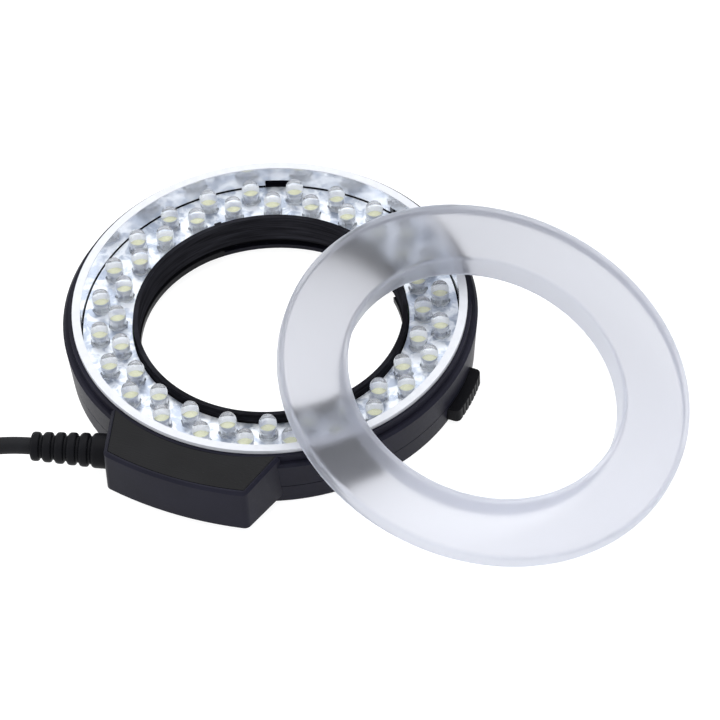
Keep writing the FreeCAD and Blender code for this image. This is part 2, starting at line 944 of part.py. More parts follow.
def board_wires():
    """Three wires from the driver board to the lamp board, and the core of the lead."""
    wires = []
    face_y = -driver_reach + driver_thickness
    height = (board_bottom + board_top) / 2
    for index in (-1, 0, 1):
        x = index * wire_pitch
        reach = math.sqrt(board_radius ** 2 - x ** 2)
        wires.append(rod(wire_radius, wire_sides, V(x, face_y, height), V(x, -reach - press_gap, height)))
    start, direction = relief_axis()
    inner_end = start - direction * (block_wall + press_gap + relief_flange_length)
    landing = V(-core_landing, face_y, relief_height)
    wire = rod(wire_radius, wire_sides, inner_end, landing).cut(driver_board())
    flange = Part.makeCylinder(relief_flange_radius, block_wall)
    wires.append(wire.cut(aimed(flange, inner_end, direction)))
    return Part.makeCompound(wires)


def rear_screws():
    """Four screws from the rear, with flat sides."""
    seats = [(x, y, 0) for x, y in ring_screws()]
    seats += [(x, y, block_bottom) for x, y in block_screws()]
    screws = []
    for x, y, base in seats:
        profile = [
            (screw_head_radius, 0),
            (screw_head_radius, screw_head_height),
            (screw_radius, screw_head_height),
            (screw_radius, screw_length),
        ]
        screws.append(banded(profile, screw_sides, V(x, y, base + press_gap / 2), UP))
    return Part.makeCompound(screws)


# Strain relief and lead

def strain_relief():
    """Moulded relief with flat sides: neck through the side wall, collar and tapering ribs."""
    neck = block_wall + press_gap
    profile = [
        (relief_flange_radius, -neck - relief_flange_length),
        (relief_flange_radius, -neck),
        (relief_neck_radius, -neck),
        (relief_neck_radius, 0),
        (relief_collar_radius, 0),
        (relief_collar_radius, relief_collar_length - relief_rib_shoulder),
    ]
    for index in range(relief_ribs):
        share = (index + 1) / relief_ribs
        radius = relief_collar_radius + (relief_end_radius - relief_collar_radius) * share
        start = relief_collar_length + index * relief_rib_pitch
        rise = start + relief_groove_length
        profile.append((relief_groove_radius, start))
        profile.append((relief_groove_radius, rise))
        profile.append((radius, rise + relief_rib_shoulder))
        profile.append((radius, start + relief_rib_pitch - relief_rib_shoulder))
    profile.append((relief_end_radius - relief_rib_shoulder, relief_length()))
    start, direction = relief_axis()
    return banded(profile, relief_sides, start, direction)


def lead_route():
    """Points of the lead from the strain relief down to the table and the start of the coil."""
    start, direction = relief_axis()
    leave = start + direction * relief_length()
    first = leave + direction * lead_run_out
    return [
        leave,
        first,
        first + V(*lead_dip),
        first + V(*lead_fall),
        V(first.x + lead_touch[0], first.y + lead_touch[1], coil_base),
        V(first.x + lead_rest[0], first.y + lead_rest[1], coil_base),
    ]


def coil_frame():
    """Centre of the coil and the bearing at which the lead runs into it."""
    route = lead_route()
    heading = route[-1] - route[-2]
    heading = V(heading.x, heading.y, 0).normalize()
    right = V(heading.y, -heading.x, 0)
    centre = route[-1] + right * coil_start_radius
    back = route[-1] - centre
    return V(centre.x, centre.y, 0), math.degrees(math.atan2(back.y, back.x))


def coil_point(turns):
    """Middle of the cord after so many turns, clockwise from above."""
    reverse = coil_climb_start + coil_climb_turns / 2
    inward = min(turns, 2 * reverse - turns)
    radius = coil_start_radius - coil_pitch * inward
    share = (turns - coil_climb_start) / coil_climb_turns
    share = max(0.0, min(1.0, share))
    rise = share * share * (3 - 2 * share)
    centre, bearing = coil_frame()
    return centre + polar(radius, bearing - 360 * turns, coil_base + coil_pitch * rise)


def coil_tangent(turns):
    """Direction of the cord at a point of the coil."""
    centre = coil_frame()[0]
    if 0 < turns < coil_turns:
        step = 0.06
        return (coil_point(turns + step) - coil_point(turns - step)).normalize()
    outward = coil_point(turns) - centre
    return V(outward.y, -outward.x, 0).normalize()


def arc_from(start, tangent, end):
    """Arc that leaves a point in a direction and ends at another point."""
    chord = end - start
    along = V(chord).normalize()
    angle = tangent.getAngle(along)
    aside = (tangent - along * tangent.dot(along)).normalize()
    middle = start + chord * 0.5 + aside * (chord.Length / 2 * math.tan(angle / 2))
    return Part.Arc(start, middle, end).toShape()


def biarc(start, start_way, end, end_way):
    """Two tangent arcs between two points with given directions."""
    chord = end - start
    ways = start_way + end_way
    spread = 2 * (1 - start_way.dot(end_way))
    product = chord.dot(ways)
    reach = (-product + math.sqrt(product ** 2 + spread * chord.dot(chord))) / spread
    joint = (start + start_way * reach + end - end_way * reach) * 0.5
    first = arc_from(start, start_way, joint)
    second = arc_from(end, end_way * -1, joint)
    return [first, second]


def tube(edges, radius):
    """Tube with flat sides along a wire of tangent edges."""
    spine = Part.Wire(edges)
    first = edges[0]
    start = first.valueAt(first.FirstParameter)
    way = first.tangentAt(first.FirstParameter)
    across = UP.cross(way).normalize()
    corners = []
    for x, y in polygon(radius, cord_sides, 0, 0, 0):
        corners.append(start + across * x + way.cross(across) * y)
    section = Part.makePolygon(corners + corners[:1])
    return spine.makePipeShell([section], True, False)


def route_edges(points, name):
    """Straight runs joined by tangent arcs as large as the two runs at each bend allow."""
    edges = []
    radii = []
    at = points[0]
    for index in range(1, len(points) - 1):
        back = points[index - 1] - points[index]
        ahead = points[index + 1] - points[index]
        shorter = min(back.Length, ahead.Length)
        half_turn = (math.pi - back.getAngle(ahead)) / 2
        radius = 0.45 * shorter / math.tan(half_turn)
        radii.append(radius)
        start, middle, end = rounded_corner(points[index - 1], points[index], points[index + 1], radius)
        edges.append(Part.LineSegment(at, start).toShape())
        edges.append(Part.Arc(start, middle, end).toShape())
        at = end
    edges.append(Part.LineSegment(at, points[-1]).toShape())
    print(name, "bend radii", ", ".join("%.0f" % radius for radius in radii))
    return edges


def checked_tube(edges, name):
    """Tube of the cord, with its volume compared with its section times its length."""
    solid = tube(edges, cord_radius)
    length = sum(edge.Length for edge in edges)
    corner = 2 * math.pi / cord_sides
    ideal = cord_sides / 2 * math.sin(corner) * cord_radius ** 2 * length
    print(name, "length %.1f, volume over section times length %.4f" % (length, solid.Volume / ideal))
    return solid


def cord_lead():
    """Cord from the strain relief to the coil."""
    return checked_tube(route_edges(lead_route(), "cord_lead"), "cord_lead")


def coil_edges():
    """Quarter turns of the coil as biarcs."""
    edges = []
    quarters = round(coil_turns * 4)
    for index in range(quarters):
        near = index / 4
        far = (index + 1) / 4
        edges += biarc(coil_point(near), coil_tangent(near), coil_point(far), coil_tangent(far))
    return edges


def coil_gap():
    """Least gap between one turn of the coil and another."""
    per_turn = 72
    count = round(coil_turns * per_turn)
    points = [coil_point(index / per_turn) for index in range(count + 1)]
    least = math.inf
    for index, point in enumerate(points):
        for other in points[index + per_turn // 2:]:
            least = min(least, point.distanceToPoint(other))
    return least - cord_diameter


def cord_coil():
    """Rest of the cord, put away as a coil of two layers on the table."""
    print("cord_coil least gap to itself %.2f" % coil_gap())
    return checked_tube(coil_edges(), "cord_coil")


def tail_route():
    """Points of the cord from the top of the coil down to the plug."""
    leave = coil_point(coil_turns)
    way = coil_tangent(coil_turns)
    first = leave + way * tail_run_out
    return [
        leave,
        first,
        first + V(*tail_dip),
        V(first.x + tail_touch[0], first.y + tail_touch[1], plug_axis_height),
        V(first.x + tail_rest[0], first.y + tail_rest[1], plug_axis_height),
    ]


def cord_tail():
    """Cord from the coil to the plug."""
    return checked_tube(route_edges(tail_route(), "cord_tail"), "cord_tail")


def plug_axis():
    """Rear end of the plug and the way that it points, level on the table."""
    route = tail_route()
    way = route[-1] - route[-2]
    return route[-1], V(way.x, way.y, 0).normalize()


def plug_body():
    """Plug barrel with a stepped tail and flat sides."""
    start, way = plug_axis()
    total = plug_tail_length + plug_length
    profile = [
        (plug_tail_radius, 0),
        (plug_tail_radius + plug_tail_flare, plug_tail_length),
        (plug_radius, plug_tail_length),
        (plug_radius, total - plug_edge_bevel),
        (plug_radius - plug_edge_bevel, total),
    ]
    return banded(profile, plug_sides, start, way)


def plug_pin():
    """Pin with a waisted tip and flat sides."""
    start, way = plug_axis()
    start = start + way * (plug_tail_length + plug_length)
    neck = plug_pin_length - plug_tip_length
    waist = plug_pin_radius - plug_ring_groove
    profile = [
        (plug_pin_radius, 0),
        (plug_pin_radius, neck),
        (waist, neck + plug_ring_groove),
        (plug_pin_radius, neck + plug_tip_length / 2),
        (plug_pin_radius / 3, plug_pin_length),
    ]
    return banded(profile, plug_sides, start, way)


# Diffuser

def head_top(radius):
    """Height of the highest thing on the head at a radius."""
    if barrel_bore_radius <= radius <= barrel_radius:
        return barrel_height
    if inner_row_radius - lamp_radius <= radius <= outer_row_radius + lamp_radius:
        return board_top + lamp_height
    if reflector_radius - wall_gap <= radius <= rim_radius + wall_gap:
        return rim_height
    if rim_radius < radius <= lip_radius:
        return lip_height
    if lip_radius < radius <= front_radius:
        return ledge_height
    return None


def diffuser_frame(tilt):
    """Centre of the diffuser's top face and its axis, with its low edge on the table."""
    spot = polar(lean_distance, lean_bearing)
    low = diffuser_skirt_height * math.cos(tilt) + diffuser_outer_radius * math.sin(tilt)
    centre = V(spot.x, spot.y, lean_table_gap + low)
    axis = polar(math.sin(tilt), lean_downhill, math.cos(tilt))
    return centre, axis


def lean_clearance(tilt):
    """Least height of the diffuser's lower edges over the head."""
    centre, axis = diffuser_frame(tilt)
    across = UP.cross(axis).normalize()
    uphill = axis.cross(across)
    edges = [
        (diffuser_outer_radius, diffuser_skirt_height),
        (diffuser_outer_radius - diffuser_wall, diffuser_skirt_height),
        (diffuser_bore_radius, diffuser_inner_height),
        (diffuser_bore_radius + diffuser_wall, diffuser_inner_height),
    ]
    least = math.inf
    for radius, depth in edges:
        for degrees in range(0, 3600, 3):
            turn = math.radians(degrees / 10)
            point = centre - axis * depth
            point = point + across * (radius * math.cos(turn)) + uphill * (radius * math.sin(turn))
            top = head_top(math.hypot(point.x, point.y))
            if top is not None:
                least = min(least, point.z - top)
    return least


def lean_tilt():
    """Tilt at which the diffuser just rests on the rim of the head."""
    flat = math.radians(5)
    steep = math.radians(40)
    for _ in range(24):
        middle = (flat + steep) / 2
        if lean_clearance(middle) < lean_rest_gap:
            flat = middle
        else:
            steep = middle
    return steep


def diffuser():
    """Translucent channel ring that leans on the head."""
    outer = diffuser_outer_radius
    bore = diffuser_bore_radius
    wall = diffuser_wall
    ring = turned([
        (bore, -diffuser_inner_height),
        (bore + wall, -diffuser_inner_height),
        (bore + wall, -wall),
        (outer - wall, -wall),
        (outer - wall, -diffuser_skirt_height),
        (outer, -diffuser_skirt_height),
        (outer, -diffuser_edge_bevel),
        (outer - diffuser_edge_bevel, 0),
        (bore + diffuser_edge_bevel, 0),
        (bore, -diffuser_edge_bevel),
    ])
    tilt = lean_tilt()
    centre, axis = diffuser_frame(tilt)
    print("diffuser tilt %.2f centre %.2f %.2f %.2f" % (math.degrees(tilt), *centre))
    return aimed(ring, centre, axis)


def write(name, shape):
    """Save one piece, after a look at its solids."""
    if not shape.isValid() or not shape.Solids:
        raise ValueError(name + " is not a valid solid")
    shape.exportStep("parts/" + name + ".step")
    print(name, len(shape.Solids), "solid(s), volume %.1f" % shape.Volume)


def main():
    os.makedirs("parts", exist_ok=True)
    inner_row, outer_row = lamp_places()
    write("rear_cover", rear_cover())
    write("front_housing", front_housing())
    write("inner_barrel", inner_barrel())
    write("reflector_ring", reflector_ring())
    write("led_tray", led_tray())
    write("led_board", led_board())
    write("leds_inner_row", lamp_row(inner_row))
    write("leds_outer_row", lamp_row(outer_row))
    write("latch_retainer", latch_retainer())
    write("right_latch_slide", latch_slide(slide_low))
    write("left_latch_slide", mirrored_across_x(latch_slide(slide_high)))
    write("right_button", latch_button(slide_low))
    write("left_button", mirrored_across_x(latch_button(slide_high)))
    write("right_spring", latch_spring())
    write("left_spring", mirrored_across_x(latch_spring()))
    write("block_housing", block_housing())
    write("block_plate", block_plate())
    write("driver_board", driver_board())
    write("driver_parts", driver_parts())
    write("board_wires", board_wires())
    write("rear_screws", rear_screws())
    write("strain_relief", strain_relief())
    write("cord_lead", cord_lead())
    write("cord_coil", cord_coil())
    write("cord_tail", cord_tail())
    write("plug_body", plug_body())
    write("plug_pin", plug_pin())
    write("diffuser", diffuser())


main()
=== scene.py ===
import math

import bpy
import numpy as np
from bpy.props import FloatProperty, FloatVectorProperty, IntProperty, PointerProperty
from mathutils import Matrix, Vector


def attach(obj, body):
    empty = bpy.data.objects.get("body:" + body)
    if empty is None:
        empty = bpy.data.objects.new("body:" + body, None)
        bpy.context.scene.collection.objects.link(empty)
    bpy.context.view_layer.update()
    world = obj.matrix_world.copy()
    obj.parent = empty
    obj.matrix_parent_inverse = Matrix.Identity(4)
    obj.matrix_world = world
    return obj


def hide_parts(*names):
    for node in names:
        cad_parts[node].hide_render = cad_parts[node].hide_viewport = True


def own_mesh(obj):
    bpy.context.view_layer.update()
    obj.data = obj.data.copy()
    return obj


bl_info = {
    "name": "Macro ring flash",
    "version": (1, 0, 0),
    "blender": (4, 5, 0),
    "location": "3D View > Sidebar > Ring flash",
    "description": "Finishes and fine pieces of a macro ring flash with its lead and diffuser",
    "category": "Object",
}

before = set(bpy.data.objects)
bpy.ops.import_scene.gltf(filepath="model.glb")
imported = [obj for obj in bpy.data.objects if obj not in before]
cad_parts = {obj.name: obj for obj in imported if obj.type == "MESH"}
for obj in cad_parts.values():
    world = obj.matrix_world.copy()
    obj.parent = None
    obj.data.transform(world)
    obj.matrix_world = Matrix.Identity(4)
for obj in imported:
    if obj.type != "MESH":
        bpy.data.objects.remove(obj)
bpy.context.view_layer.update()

HEAD = "head"
DIFFUSER = "diffuser"


# Sizes and colours

class HeadSizes(bpy.types.PropertyGroup):
    """Sizes of the small pieces in the head."""

    lamp_radius: FloatProperty(
        name="Lamp radius", description="Radius of one clear lamp",
        default=0.0025, unit="LENGTH", subtype="DISTANCE")
    lamp_base: FloatProperty(
        name="Lamp base height", description="Height of the board that the lamps stand on",
        default=0.0102, unit="LENGTH", subtype="DISTANCE")
    lamp_top: FloatProperty(
        name="Lamp top height", description="Height of the top of each lamp",
        default=0.0193, unit="LENGTH", subtype="DISTANCE")
    chip_level: FloatProperty(
        name="Chip level", description="Height of the lamp's chip",
        default=0.0154, unit="LENGTH", subtype="DISTANCE")
    seat_level: FloatProperty(
        name="Seat level", description="Height of the opaque foot of each lamp",
        default=0.01245, unit="LENGTH", subtype="DISTANCE")
    inner_row: FloatProperty(
        name="Inner row radius", description="Radius of the circle of the inner lamps",
        default=0.0426, unit="LENGTH", subtype="DISTANCE")
    outer_row: FloatProperty(
        name="Outer row radius", description="Radius of the circle of the outer lamps",
        default=0.04775, unit="LENGTH", subtype="DISTANCE")
    lamps_in_row: IntProperty(
        name="Lamps in a row", description="Number of lamps in each circle", default=24)


class LeadSizes(bpy.types.PropertyGroup):
    """Sizes of the lead and its coil."""

    diameter: FloatProperty(
        name="Cord diameter", description="Outside diameter of the cord",
        default=0.0048, unit="LENGTH", subtype="DISTANCE")
    coil_radius: FloatProperty(
        name="Coil radius", description="Radius at which the cord enters its coil",
        default=0.0285, unit="LENGTH", subtype="DISTANCE")
    coil_pitch: FloatProperty(
        name="Coil pitch", description="Distance from one turn to the next",
        default=0.0053, unit="LENGTH", subtype="DISTANCE")
    coil_rise: FloatProperty(
        name="Layer rise", description="Height from the lower turns to the upper turns",
        default=0.0053, unit="LENGTH", subtype="DISTANCE")
    coil_turns: FloatProperty(
        name="Turns", description="Number of turns in the coil", default=2.25)


class FinishColours(bpy.types.PropertyGroup):
    """Main colours of the finishes."""

    housing: FloatVectorProperty(
        name="Housing", description="Moulded plastic of the shell",
        default=(0.0078, 0.0077, 0.0128), size=3, subtype="COLOR")
    barrel: FloatVectorProperty(
        name="Barrel", description="Black tube round the opening",
        default=(0.0100, 0.0100, 0.0122), size=3, subtype="COLOR")
    rim: FloatVectorProperty(
        name="Rim", description="White rim of the light chamber",
        default=(0.56, 0.57, 0.60), size=3, subtype="COLOR")
    phosphor: FloatVectorProperty(
        name="Lamp chip", description="Yellow coating on the chip in each lamp",
        default=(0.66, 0.66, 0.41), size=3, subtype="COLOR")
    frost: FloatVectorProperty(
        name="Diffuser", description="Frosted plastic of the diffuser",
        default=(0.63, 0.64, 0.685), size=3, subtype="COLOR")


# Places that a finish shares with a shape, in metres from the table and the optical axis

TRAY_LEVEL = 0.0122
RIM_LEVEL = 0.01925
WALL_REACH = 0.0530

DIFFUSER_CENTRE = (0.06741, -0.00625, 0.02149)
DIFFUSER_TILT = math.radians(17.16)
DIFFUSER_DOWNHILL = math.radians(-7.5)
DIFFUSER_AXIS = (
    math.sin(DIFFUSER_TILT) * math.cos(DIFFUSER_DOWNHILL),
    math.sin(DIFFUSER_TILT) * math.sin(DIFFUSER_DOWNHILL),
    math.cos(DIFFUSER_TILT),
)
DIFFUSER_LEVELLING = Vector(DIFFUSER_AXIS).rotation_difference(Vector((0, 0, 1)))
DIFFUSER_INNER = 0.0386
DIFFUSER_OUTER = 0.0576


# Node helpers

def new_finish(name):
    """A material with a Principled shader, and the node tree to build on."""
    material = bpy.data.materials.new(name)
    material.use_nodes = True
    tree = material.node_tree
    return material, tree, tree.nodes["Principled BSDF"]


def feed(tree, node, values):
    """Put a constant on each named socket of a node, or link a varying value to it."""
    for socket, value in values.items():
        if isinstance(value, bpy.types.NodeSocket):
            tree.links.new(value, node.inputs[socket])
        else:
            node.inputs[socket].default_value = value
    return node


def added(tree, kind, values):
    """A new node, fed with its values."""
    return feed(tree, tree.nodes.new(kind), values)


def place(tree, scale=(1, 1, 1), turn=(0, 0, 0), shift=(0, 0, 0)):
    """Object coordinates through a Mapping node."""
    here = tree.nodes.new("ShaderNodeTexCoord").outputs["Object"]
    values = {"Vector": here, "Scale": scale, "Rotation": turn, "Location": shift}
    return added(tree, "ShaderNodeMapping", values).outputs["Vector"]


def noise(tree, where, scale, detail, roughness, distortion=0.0):
    """Fractal noise read at a position."""
    values = {"Vector": where, "Scale": scale, "Detail": detail, "Roughness": roughness}
    return added(tree, "ShaderNodeTexNoise", {**values, "Distortion": distortion}).outputs["Fac"]


def spread(tree, value, low, high, out_low, out_high):
    """Map a range of values to another range, clamped."""
    values = {"Value": value, "From Min": low, "From Max": high, "To Min": out_low, "To Max": out_high}
    return added(tree, "ShaderNodeMapRange", values).outputs["Result"]


def vary(tree, value, low, high):
    """Map the middle span of a noise to a range of values."""
    return spread(tree, value, 0.3, 0.7, low, high)


def blend(tree, factor, first, second):
    """Mix two colours by a factor that varies over the surface."""
    node = tree.nodes.new("ShaderNodeMix")
    node.data_type = "RGBA"
    values = {0: factor}
    for socket, colour in ((6, first), (7, second)):
        values[socket] = (*colour, 1) if isinstance(colour, tuple) else colour
    return feed(tree, node, values).outputs[2]


def mottled(tree, value, low, high, first, second):
    """Pass from one colour to another where a value runs from low to high."""
    return blend(tree, spread(tree, value, low, high, 0.0, 1.0), first, second)


def combine(tree, operation, first, second=0.0):
    """Arithmetic on two varying values, or on one and a number."""
    node = tree.nodes.new("ShaderNodeMath")
    node.operation = operation
    return feed(tree, node, {0: first, 1: second}).outputs[0]


def relief(tree, shader, layers):
    """Bump layers (height, strength, distance), each on top of the one before."""
    below = {}
    for height, strength, distance in layers:
        values = {"Height": height, "Strength": strength, "Distance": distance, **below}
        below = {"Normal": added(tree, "ShaderNodeBump", values).outputs["Normal"]}
    feed(tree, shader, below)


def axes(tree, where):
    """The three parts of a position."""
    return added(tree, "ShaderNodeSeparateXYZ", {0: where}).outputs


def from_axis(tree, x, y):
    """Distance from an upright axis: the root of x times x plus y times y."""
    squares = combine(tree, "ADD", combine(tree, "MULTIPLY", x, x), combine(tree, "MULTIPLY", y, y))
    return combine(tree, "SQRT", squares)


def toned(colour, factor, lift=0.0):
    """A colour made lighter or darker."""
    return tuple(min(1, part * factor + lift) for part in colour)


# Finishes

def moulded_plastic(name, colour, gloss, grain_scale, grain_depth):
    """Moulded black plastic: fine spark-eroded grain, faint flow marks, patchy sheen."""
    material, tree, shader = new_finish(name)
    where = place(tree)
    patches = noise(tree, where, 38, 4, 0.55)
    grain = noise(tree, where, grain_scale, 5, 0.65)
    specks = noise(tree, where, grain_scale * 3.1, 2, 0.5)
    tint = mottled(tree, patches, 0.3, 0.7, colour, toned(colour, 1.7))
    dust = spread(tree, specks, 0.66, 0.74, 0.0, 0.35)
    sheen = vary(tree, patches, gloss - 0.05, gloss + 0.06)
    feed(tree, shader, {
        "Base Color": blend(tree, dust, tint, toned(colour, 3.2, 0.008)),
        "Roughness": combine(tree, "ADD", sheen, vary(tree, grain, -0.04, 0.05)),
        "IOR": 1.5,
        "Specular IOR Level": 0.07,
    })
    relief(tree, shader, [(grain, 0.35, grain_depth), (patches, 0.08, grain_depth * 6)])
    return material


def barrel_plastic(colour):
    """Satin black tube with faint turning lines round it, 1.1 mm apart; streaks vary its roughness and
    bumps, and lighten its colour as a painted sheen.
    """
    material, tree, shader = new_finish("barrel_plastic")
    where = place(tree)
    height = axes(tree, where)[2]
    wave = combine(tree, "SINE", combine(tree, "MULTIPLY", height, 2 * math.pi / 0.0011))
    # Painted sheen: these streaks lighten the base colour, standing in for the satin sheen; they also vary
    # the roughness and bumps.
    streaks_and_painted_sheen = noise(tree, place(tree, scale=(1, 1, 26)), 60, 4, 0.6)
    grain = noise(tree, where, 900, 4, 0.6)
    feed(tree, shader, {
        "Base Color": mottled(tree, streaks_and_painted_sheen, 0.4, 0.66, colour, toned(colour, 2.4)),
        "Roughness": vary(tree, streaks_and_painted_sheen, 0.55, 0.70),
        "Specular IOR Level": 0.0,
    })
    relief(tree, shader, [(wave, 0.22, 0.00004), (streaks_and_painted_sheen, 0.3, 0.00006), (grain, 0.2, 0.00002)])
    return material


def plate_gloss():
    """Glossy black plate with hairline rubs and a soft cloudiness."""
    material, tree, shader = new_finish("plate_gloss")
    rubs = noise(tree, place(tree, scale=(1, 14, 1), turn=(0, 0, 0.5)), 240, 5, 0.7)
    cloud = noise(tree, place(tree), 70, 3, 0.5)
    feed(tree, shader, {
        "Base Color": mottled(tree, cloud, 0.35, 0.7, (0.0030, 0.0030, 0.0036), (0.0050, 0.0050, 0.0060)),
        "Roughness": spread(tree, rubs, 0.35, 0.7, 0.24, 0.36),
        "Specular IOR Level": 0.11,
    })
    relief(tree, shader, [(rubs, 0.06, 0.00002), (cloud, 0.05, 0.0001)])
    return material


def reflector_white(colour):
    """White rim on top, bright and slightly wavy metallised wall below, painted shadow line at its foot."""
    material, tree, shader = new_finish("reflector_white")
    where = place(tree)
    x, y, height = axes(tree, where)
    wave = noise(tree, place(tree, scale=(1, 1, 0.35)), 90, 3, 0.5)
    smear = noise(tree, where, 420, 4, 0.6)
    above = spread(tree, height, RIM_LEVEL, RIM_LEVEL + 0.0001, 0.0, 1.0)
    outside = spread(tree, from_axis(tree, x, y), WALL_REACH, WALL_REACH + 0.0002, 0.0, 1.0)
    white = combine(tree, "MAXIMUM", above, outside)
    # Painted shadow: a dark band at the foot of the wall, just above the tray.
    foot = spread(tree, height, TRAY_LEVEL + 0.0004, TRAY_LEVEL + 0.0005, 1.0, 0.0)
    metal = mottled(tree, smear, 0.35, 0.65, (0.86, 0.88, 0.92), (0.95, 0.96, 0.98))
    metal = blend(tree, foot, metal, (0.02, 0.02, 0.024))
    rim = mottled(tree, smear, 0.4, 0.7, colour, toned(colour, 0.93))
    matt = spread(tree, white, 0.0, 1.0, 0.07, 0.42)
    feed(tree, shader, {
        "Base Color": blend(tree, white, metal, rim),
        "Metallic": spread(tree, white, 0.0, 1.0, 0.72, 0.0),
        "Roughness": combine(tree, "ADD", matt, vary(tree, smear, -0.03, 0.05)),
    })
    relief(tree, shader, [(wave, 0.25, 0.0004), (smear, 0.05, 0.00003)])
    return material


def tray_silver():
    """Silver paint, mottled with darker patches, with a soft orange peel."""
    material, tree, shader = new_finish("tray_silver")
    where = place(tree)
    peel = noise(tree, where, 480, 3, 0.5)
    patch = noise(tree, where, 300, 3, 0.55, 0.6)
    feed(tree, shader, {
        "Base Color": mottled(tree, patch, 0.42, 0.58, (0.44, 0.49, 0.58), (0.84, 0.87, 0.91)),
        "Roughness": vary(tree, patch, 0.26, 0.42),
        "Metallic": vary(tree, patch, 0.80, 0.55),
    })
    relief(tree, shader, [(peel, 0.22, 0.00012), (patch, 0.3, 0.0003)])
    return material


def lamp_clear():
    """Clear cast resin, with the faint unevenness of a moulded dome."""
    material, tree, shader = new_finish("lamp_clear")
    ripple = noise(tree, place(tree), 520, 2, 0.5)
    feed(tree, shader, {
        "Base Color": (0.94, 0.955, 0.99, 1),
        "Roughness": vary(tree, ripple, 0.015, 0.05),
        "Transmission Weight": 0.85,
        "IOR": 1.50,
    })
    relief(tree, shader, [(ripple, 0.10, 0.00005)])
    return material


def lamp_chip(colour):
    """Yellow phosphor in its cup, finely grained, with a faint painted glow."""
    material, tree, shader = new_finish("lamp_chip")
    grain = noise(tree, place(tree), 3000, 3, 0.6)
    tint = mottled(tree, grain, 0.3, 0.7, colour, toned(colour, 1.15))
    feed(tree, shader, {
        "Base Color": tint,
        "Roughness": 0.6,
        # Painted glow: a faint emission in the chip's own tint brightens it.
        "Emission Color": tint,
        "Emission Strength": 0.05,
    })
    relief(tree, shader, [(grain, 0.3, 0.00003)])
    return material


def lamp_seat():
    """Pale foot, post and cup of a lamp, clouded here and there with a darker blue."""
    material, tree, shader = new_finish("lamp_seat")
    where = place(tree)
    cloud = noise(tree, where, 330, 2, 0.5)
    mottle = noise(tree, where, 1500, 3, 0.6)
    pale = mottled(tree, mottle, 0.3, 0.7, (0.86, 0.89, 0.92), (0.93, 0.95, 0.97))
    feed(tree, shader, {
        "Base Color": mottled(tree, cloud, 0.50, 0.62, pale, (0.56, 0.60, 0.70)),
        "Roughness": vary(tree, mottle, 0.4, 0.5),
    })
    relief(tree, shader, [(mottle, 0.2, 0.00004)])
    return material


def plated(name, colour, rough, scale, stretch=(1, 1, 1)):
    """Plated or drawn metal with lengthwise lines and handling marks."""
    material, tree, shader = new_finish(name)
    lines = noise(tree, place(tree, scale=stretch), scale, 4, 0.65)
    marks = noise(tree, place(tree), scale * 0.3, 3, 0.5)
    feed(tree, shader, {
        "Base Color": mottled(tree, marks, 0.3, 0.7, toned(colour, 0.72), colour),
        "Roughness": vary(tree, lines, rough - 0.06, rough + 0.08),
        "Metallic": 1.0,
    })
    relief(tree, shader, [(lines, 0.18, 0.00003)])
    return material


def board_green():
    """Solder mask over faint copper runs."""
    material, tree, shader = new_finish("board_green")
    where = place(tree)
    runs = added(tree, "ShaderNodeTexVoronoi", {"Vector": where, "Scale": 210})
    runs.feature = "DISTANCE_TO_EDGE"
    track = spread(tree, runs.outputs["Distance"], 0.03, 0.06, 1.0, 0.0)
    weave = noise(tree, where, 1400, 3, 0.5)
    tint = blend(tree, track, (0.012, 0.09, 0.035), (0.03, 0.16, 0.06))
    feed(tree, shader, {
        "Base Color": blend(tree, spread(tree, weave, 0.4, 0.8, 0.0, 0.5), tint, (0.02, 0.12, 0.05)),
        "Roughness": vary(tree, weave, 0.25, 0.36),
    })
    relief(tree, shader, [(track, 0.3, 0.00004), (weave, 0.1, 0.00002)])
    return material


def cord_rubber():
    """Matt PVC sheath with a fine grain and faint scuffs."""
    material, tree, shader = new_finish("cord_rubber")
    where = place(tree)
    scuff = noise(tree, where, 160, 4, 0.6)
    grain = noise(tree, where, 2200, 3, 0.6)
    feed(tree, shader, {
        "Base Color": mottled(tree, scuff, 0.35, 0.7, (0.0040, 0.0041, 0.0052), (0.0085, 0.0087, 0.0105)),
        "Roughness": vary(tree, scuff, 0.42, 0.58),
        "Specular IOR Level": 0.12,
    })
    relief(tree, shader, [(grain, 0.25, 0.00003), (scuff, 0.08, 0.0001)])
    return material


